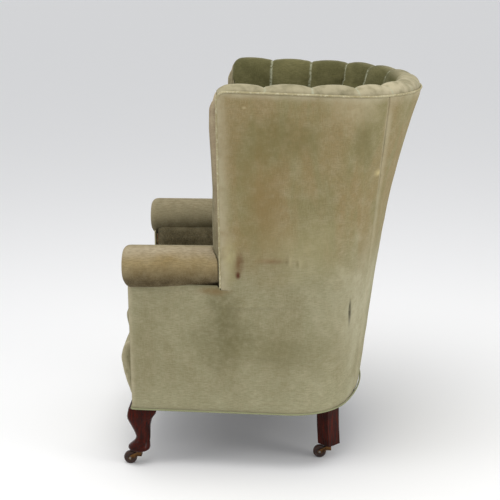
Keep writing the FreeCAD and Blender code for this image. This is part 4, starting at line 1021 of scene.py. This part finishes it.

# %% [markdown]
# ## Stuffed pieces
# The cushion, the arm rolls, the arm pads, the front border, the wing edges, the facings and the deck
# start from the solids they stand for. All of them but the facings and the deck are simulated together: air
# pressure swells each one, gravity is off, and no vertex may travel further than its cap. The wear
# attribute is then read from the shape itself: what stands out from its own smoothed copy gets rubbed first.

# %% Stuffing


def joined_copy(nodes):
    """One clean mesh from some nodes of the frame."""
    shape = bmesh.new()
    for node in nodes:
        shape.from_mesh(frame["nodes"][node].data)
    bmesh.ops.remove_doubles(shape, verts=shape.verts, dist=0.00002)
    mesh = bpy.data.meshes.new("copy")
    shape.to_mesh(mesh)
    shape.free()
    return mesh


def baked(piece):
    """Apply a piece's modifiers to its mesh."""
    graph = bpy.context.evaluated_depsgraph_get()
    mesh = bpy.data.meshes.new_from_object(piece.evaluated_get(graph), depsgraph=graph)
    piece.modifiers.clear()
    old = piece.data
    piece.data = mesh
    bpy.data.meshes.remove(old)
    return mesh


def remeshed(name, nodes, voxel, shrink):
    """Even small faces over the solids, drawn in a little to leave room to swell."""
    piece = bpy.data.objects.new(name, joined_copy(nodes))
    bpy.context.scene.collection.objects.link(piece)
    even = piece.modifiers.new("even", "REMESH")
    even.mode = "VOXEL"
    even.voxel_size = voxel
    soft = piece.modifiers.new("soft", "SMOOTH")
    soft.iterations = 4
    soft.factor = 0.5
    baked(piece)
    normals = [vertex.normal.copy() for vertex in piece.data.vertices]
    for vertex, normal in zip(piece.data.vertices, normals):
        vertex.co -= normal * shrink
    return piece


CLOTH = {"quality": 4, "use_pressure": True, "tension_stiffness": 12, "compression_stiffness": 8,
         "bending_stiffness": 0.6}
PRESSURE = 4.0
FRAMES = 16


def swell(pieces):
    """Blow the pieces up as cloth, all at once, and keep each vertex within its piece's cap."""
    starts = {piece.name: [vertex.co.copy() for vertex in piece.data.vertices] for piece, _cap in pieces}
    for piece, _cap in pieces:
        cloth = piece.modifiers.new("cloth", "CLOTH")
        for label, value in CLOTH.items():
            setattr(cloth.settings, label, value)
        cloth.settings.uniform_pressure_force = PRESSURE
        cloth.settings.effector_weights.gravity = 0
        cloth.collision_settings.use_collision = False
        cloth.point_cache.frame_start = 1
        cloth.point_cache.frame_end = FRAMES
    scene = bpy.context.scene
    for number in range(1, FRAMES + 1):
        scene.frame_set(number)
    for piece, cap in pieces:
        baked(piece)
        for vertex, start in zip(piece.data.vertices, starts[piece.name]):
            moved = vertex.co - start
            if moved.length > cap:
                vertex.co = start + moved.normalized() * cap
    scene.frame_set(1)


def mark_wear(piece, rounds, full):
    """Store the attribute worn: 1 where the surface stands out from its smoothed copy by full."""
    copy = piece.copy()
    copy.data = piece.data.copy()
    bpy.context.scene.collection.objects.link(copy)
    calm = copy.modifiers.new("calm", "SMOOTH")
    calm.iterations = rounds
    calm.factor = 0.5
    mesh = baked(copy)
    worn = piece.data.attributes.new("worn", "FLOAT", "POINT")
    values = []
    for vertex, still in zip(piece.data.vertices, mesh.vertices):
        out = (vertex.co - still.co).dot(vertex.normal)
        values.append(ramp(out, 0, full) * 0.9)
    worn.data.foreach_set("value", values)
    bpy.data.objects.remove(copy)


def dress(piece, body, finish, replaced, subdivide):
    if subdivide:
        finer = piece.modifiers.new("finer", "SUBSURF")
        finer.levels = 1
        finer.render_levels = 1
        baked(piece)
    mesh = piece.data
    mesh.materials.clear()
    mesh.materials.append(finish)
    shaded(mesh)
    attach(piece, body)
    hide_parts(*replaced)
    return piece


# Name, voxel, shrink, cap, node, wear rounds, wear height, finish and slot
STUFFED = []
for hand in ("left", "right"):
    STUFFED += [
        (f"arm_roll_cover_{hand}", 0.0045, 0.002, 0.0035, f"arm_roll_{hand}", 60, 0.004,
         ARM_VELVET, "outside_velvet"),
        (f"inside_arm_cover_{hand}", 0.005, 0.002, 0.004, f"inside_arm_pad_{hand}", 40, 0.004,
         ARM_VELVET, "channel_velvet"),
        (f"wing_edge_cover_{hand}", 0.0035, 0.001, 0.002, f"wing_edge_{hand}", 30, 0.003,
         STRIP_VELVET, "outside_velvet"),
        (f"arm_facing_cover_{hand}", 0.0024, 0.0003, 0.0012, f"arm_facing_{hand}", 20, 0.002,
         OUTSIDE_VELVET, "outside_velvet"),
    ]
STUFFED += [
    ("front_border_cover", 0.005, 0.002, 0.004, "front_border", 50, 0.004, OUTSIDE_VELVET, "outside_velvet"),
    ("cushion_cover", 0.007, 0.004, 0.008, "seat_cushion", 60, 0.008, CHANNEL_VELVET, "channel_velvet"),
    ("deck_cover", 0.006, 0.001, 0.002, "seat_platform", 20, 0.004, HESSIAN, "hessian"),
]


def pushed(vertex, amount):
    """Move a vertex away from the chair's middle plane."""
    vertex.co.x += math.copysign(amount, vertex.co.x)


def ends(piece, axis):
    """Lowest and highest coordinate along an axis."""
    values = [vertex.co[axis] for vertex in piece.data.vertices]
    return min(values), max(values)


def over_rail(piece):
    """The roll's cloth goes under the arm rail: bring its underside down round the wood."""
    for vertex in piece.data.vertices:
        under = ramp(vertex.co.z, 0.540, 0.530)
        vertex.co.z -= 0.0035 * under
        if abs(vertex.co.x) > 0.326:
            pushed(vertex, 0.005 * under)


def lean_front(piece):
    """A sat-on cushion's front edge leans back towards its top."""
    for vertex in piece.data.vertices:
        vertex.co.y += 0.013 * ramp(vertex.co.y, -0.33, -0.39) * eased(ramp(vertex.co.z, 0.405, 0.465))


def round_tip(piece):
    """Tuck a wing's edge in under the cord, and carry its top up to the crest in one round corner."""
    low = 1.000
    top = ends(piece, 2)[1]
    for vertex in piece.data.vertices:
        outer = Barrel(vertex.co.z).on_side(WING)[0]
        pushed(vertex, 0.0045 * ramp(abs(vertex.co.x), outer - 0.022, outer - 0.010))
        if vertex.co.z > low:
            back = min(max(TIP_FRONT + TIP_RADIUS - vertex.co.y, 0), TIP_RADIUS * 0.985)
            aim = WING_PIPING + 0.010 - TIP_RADIUS + math.sqrt(TIP_RADIUS ** 2 - back ** 2)
            vertex.co.z = low + (vertex.co.z - low) * (aim - low) / (top - low)


def full_ends(piece):
    """The border's cloth runs in behind the arms, down to the cord and up to the cushion."""
    reach = ends(piece, 0)[1]
    low, top = ends(piece, 2)
    for vertex in piece.data.vertices:
        pushed(vertex, 0.009 * ramp(abs(vertex.co.x), reach - 0.030, reach - 0.010))
        vertex.co.z -= 0.008 * ramp(vertex.co.z, low + 0.030, low + 0.010)
        vertex.co.z += 0.009 * ramp(vertex.co.z, top - 0.030, top - 0.010)


def under_roll(piece):
    """The inside arm's cloth goes up under the roll: no ledge shows between them."""
    top = ends(piece, 2)[1]
    for vertex in piece.data.vertices:
        near = ramp(vertex.co.z, top - 0.030, top - 0.010)
        vertex.co.z += 0.012 * near
        pushed(vertex, 0.010 * near)


FITTED = {"arm_roll": over_rail, "cushion": lean_front, "wing_edge": round_tip, "inside_arm": under_roll,
          "front_border": full_ends}


def make_stuffed():
    made = []
    for name, voxel, shrink, cap, node, *_rest in STUFFED:
        coarser = 1.0
        nodes = [node, node.replace("roll", "rail")] if node.startswith("arm_roll") else [node]
        made.append((remeshed(name, nodes, voxel * coarser, shrink), cap))
    swell([pair for pair in made if not pair[0].name.startswith(("arm_facing", "deck"))])
    for (piece, _cap), row in zip(made, STUFFED):
        for start, fit in FITTED.items():
            if piece.name.startswith(start):
                fit(piece)
        name, _voxel, _shrink, _cap, node, rounds, full, finish, material_slot = row
        mark_wear(piece, rounds, full)
        body = "cushion" if node == "seat_cushion" else "chair"
        dress(piece, body, finish, [node], subdivide=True)
        print(name, "faces", len(piece.data.polygons))


make_stuffed()

# %% [markdown]
# ## Piping
# A cord in a bias strip of velvet is sewn in along the top, down the front of each wing and all round
# the hem. A curve with a round bevel is the natural tool: its points come from the barrel's rule.

# %% Piping
CORD = 0.0027


def sewn_cord(name, points, radius):
    curve = bpy.data.curves.new(name, "CURVE")
    curve.dimensions = "3D"
    spline = curve.splines.new("NURBS")
    spline.points.add(len(points) - 1)
    for number, (knot, point) in enumerate(zip(spline.points, points)):
        knot.co = (*point, 1)
        knot.radius = 1 + 0.10 * noise.noise(Vector((number * 0.37, len(points), 0)))
    spline.order_u = 3
    spline.use_endpoint_u = True
    curve.bevel_depth = radius
    curve.bevel_resolution = 4
    curve.resolution_u = 3
    curve.use_fill_caps = True
    drawn = bpy.data.objects.new(name, curve)
    bpy.context.scene.collection.objects.link(drawn)
    mesh = bpy.data.meshes.new_from_object(drawn)
    bpy.data.objects.remove(drawn)
    return shaded(mesh)


def edge_cord_points():
    """Up one wing, round its corner, along the top and down the other wing."""
    out = 0.0026
    radius = CORNER + out
    up = []
    low = ROLL_BOTTOM + 0.006
    corner_top = piping_height(WING + CORNER)
    for step in range(60):
        z = low + (corner_top - CORNER - low) * step / 59
        up.append(Vector((*Barrel(z).on_side(WING - out, 0.0022), z)))
    for step in range(1, 7):
        turn = math.pi / 2 * step / 7
        y = WING + CORNER - radius * math.cos(turn)
        z = corner_top - CORNER + radius * math.sin(turn)
        up.append(Vector((*Barrel(z).on_side(y, 0.0022), z)))
    along = [settled(step / 80, 0.0022, 0.0028) for step in range(1, 81)]
    along = [point for point in along if point.y > WING + CORNER]
    half = up + along
    return half + [Vector((-point.x, point.y, point.z)) for point in reversed(half[:-1])]


def hem_cord_points():
    z = HEM + 0.003
    plan = Barrel(z)
    out = 0.0028
    right_side = []
    front_corner = Vector((FACING_X + out, FRONT - out, z))
    for step in range(12):
        right_side.append(Vector((0.306 * step / 11, FRONT - out - 0.0005, z)))
    right_side.append(Vector((FACING_X - 0.0015, FRONT - out + 0.0004, z)))
    right_side.append(front_corner + Vector((-0.0008, 0.0035, 0)))
    for step in range(1, 14):
        part = step / 14
        (wing_x, _y), _n = plan.at(0.0, -out)
        right_side.append(Vector((front_corner.x + (wing_x - front_corner.x) * part,
                                  front_corner.y + (WING - front_corner.y) * part, z)))
    for step in range(61):
        share = step / 60
        (x, y), _n = plan.at(share, -out)
        right_side.append(Vector((x, y, z)))
    left_side = [Vector((-point.x, point.y, point.z)) for point in reversed(right_side[:-1])]
    return right_side + left_side


def make_piping():
    for name, points, radius, node in (("edge_cord", edge_cord_points(), CORD, "edge_piping"),
                                       ("hem_cord", hem_cord_points(), CORD * 0.85, "base_piping")):
        cord = finished(name, sewn_cord(name, points, radius), "chair", PIPING, [node])
        print(name, "vertices", len(cord.data.vertices))


make_piping()

# %% [markdown]
# ## The lining under the seat
# Black cloth is tacked under the rails and hangs a little between them. Its solid's copy is cut
# into small faces and the middle is let down by a few millimetres.


def make_dust_cloth():
    shape = bmesh.new()
    shape.from_mesh(joined_copy(["dust_cover"]))
    for _ in range(5):
        long_edges = [edge for edge in shape.edges if edge.calc_length() > 0.03]
        bmesh.ops.subdivide_edges(shape, edges=long_edges, cuts=1)
        bmesh.ops.triangulate(shape, faces=[face for face in shape.faces if len(face.verts) > 4])
    for vertex in shape.verts:
        free = max(0, 1 - (vertex.co.x / 0.30) ** 2) * max(0, 1 - ((vertex.co.y + 0.06) / 0.27) ** 2)
        vertex.co.z -= 0.007 * free * (1 + 0.4 * noise.noise(vertex.co * 9))
    bmesh.ops.recalc_face_normals(shape, faces=shape.faces)
    area = sum(face.calc_area() for face in shape.faces if face.normal.z < -0.5)
    mesh = to_mesh(shape, "dust_cloth")
    piece = finished("dust_cloth", mesh, "chair", BLACK_CLOTH, ["dust_cover"])
    print("lining's area, m2:", round(area, 3))
    return piece


make_dust_cloth()

# %% [markdown]
# ## Legs and castors
# These solids already have the right form, so each gets a merged copy with smooth shading, which a
# polished surface needs, and the hidden frame only gets its material.

# %% Legs and castors


def smoothed(node, body, finish):
    mesh = joined_copy([node])
    piece = finished(f"{node}_finished", mesh, body, finish, [node])
    limit = math.radians(32)
    shape = bmesh.new()
    shape.from_mesh(mesh)
    for edge in shape.edges:
        edge.smooth = edge.is_manifold and edge.calc_face_angle(0) < limit
    for face in shape.faces:
        face.smooth = True
    shape.to_mesh(mesh)
    shape.free()
    return piece


for hand in ("left", "right"):
    smoothed(f"front_leg_{hand}", "chair", MAHOGANY)
    smoothed(f"rear_leg_{hand}", "chair", MAHOGANY)
for corner in ("front_left", "front_right", "rear_left", "rear_right"):
    smoothed(f"castor_plate_{corner}", "chair", OLD_BRASS)
    smoothed(f"castor_horn_{corner}", f"castor_{corner}", OLD_BRASS)
    smoothed(f"castor_axle_{corner}", f"castor_{corner}", DULL_STEEL)
    smoothed(f"castor_wheel_{corner}", f"wheel_{corner}", CASTOR_WOOD)
smoothed("castor_screws", "chair", DULL_STEEL)

# %% [markdown]
# What the covers hide stays as it was built. It only gets the finish of its slot, so that the frame
# looks right when a cover is taken off in the outliner.

# %% Hidden frame
HIDDEN = {"beech": BEECH, "hessian": HESSIAN, "steel": DULL_STEEL, "mahogany": MAHOGANY,
          "castor_brass": OLD_BRASS, "castor_wood": CASTOR_WOOD, "outside_velvet": OUTSIDE_VELVET,
          "channel_velvet": CHANNEL_VELVET, "piping": PIPING, "black_cloth": BLACK_CLOTH}
for row in frame["record"]["subparts"]:
    node = frame["nodes"][row["node"]]
    if not node.hide_render:
        node.data.materials.clear()
        node.data.materials.append(HIDDEN[row["material_slot"]])
        print("kept as it is:", row["node"])
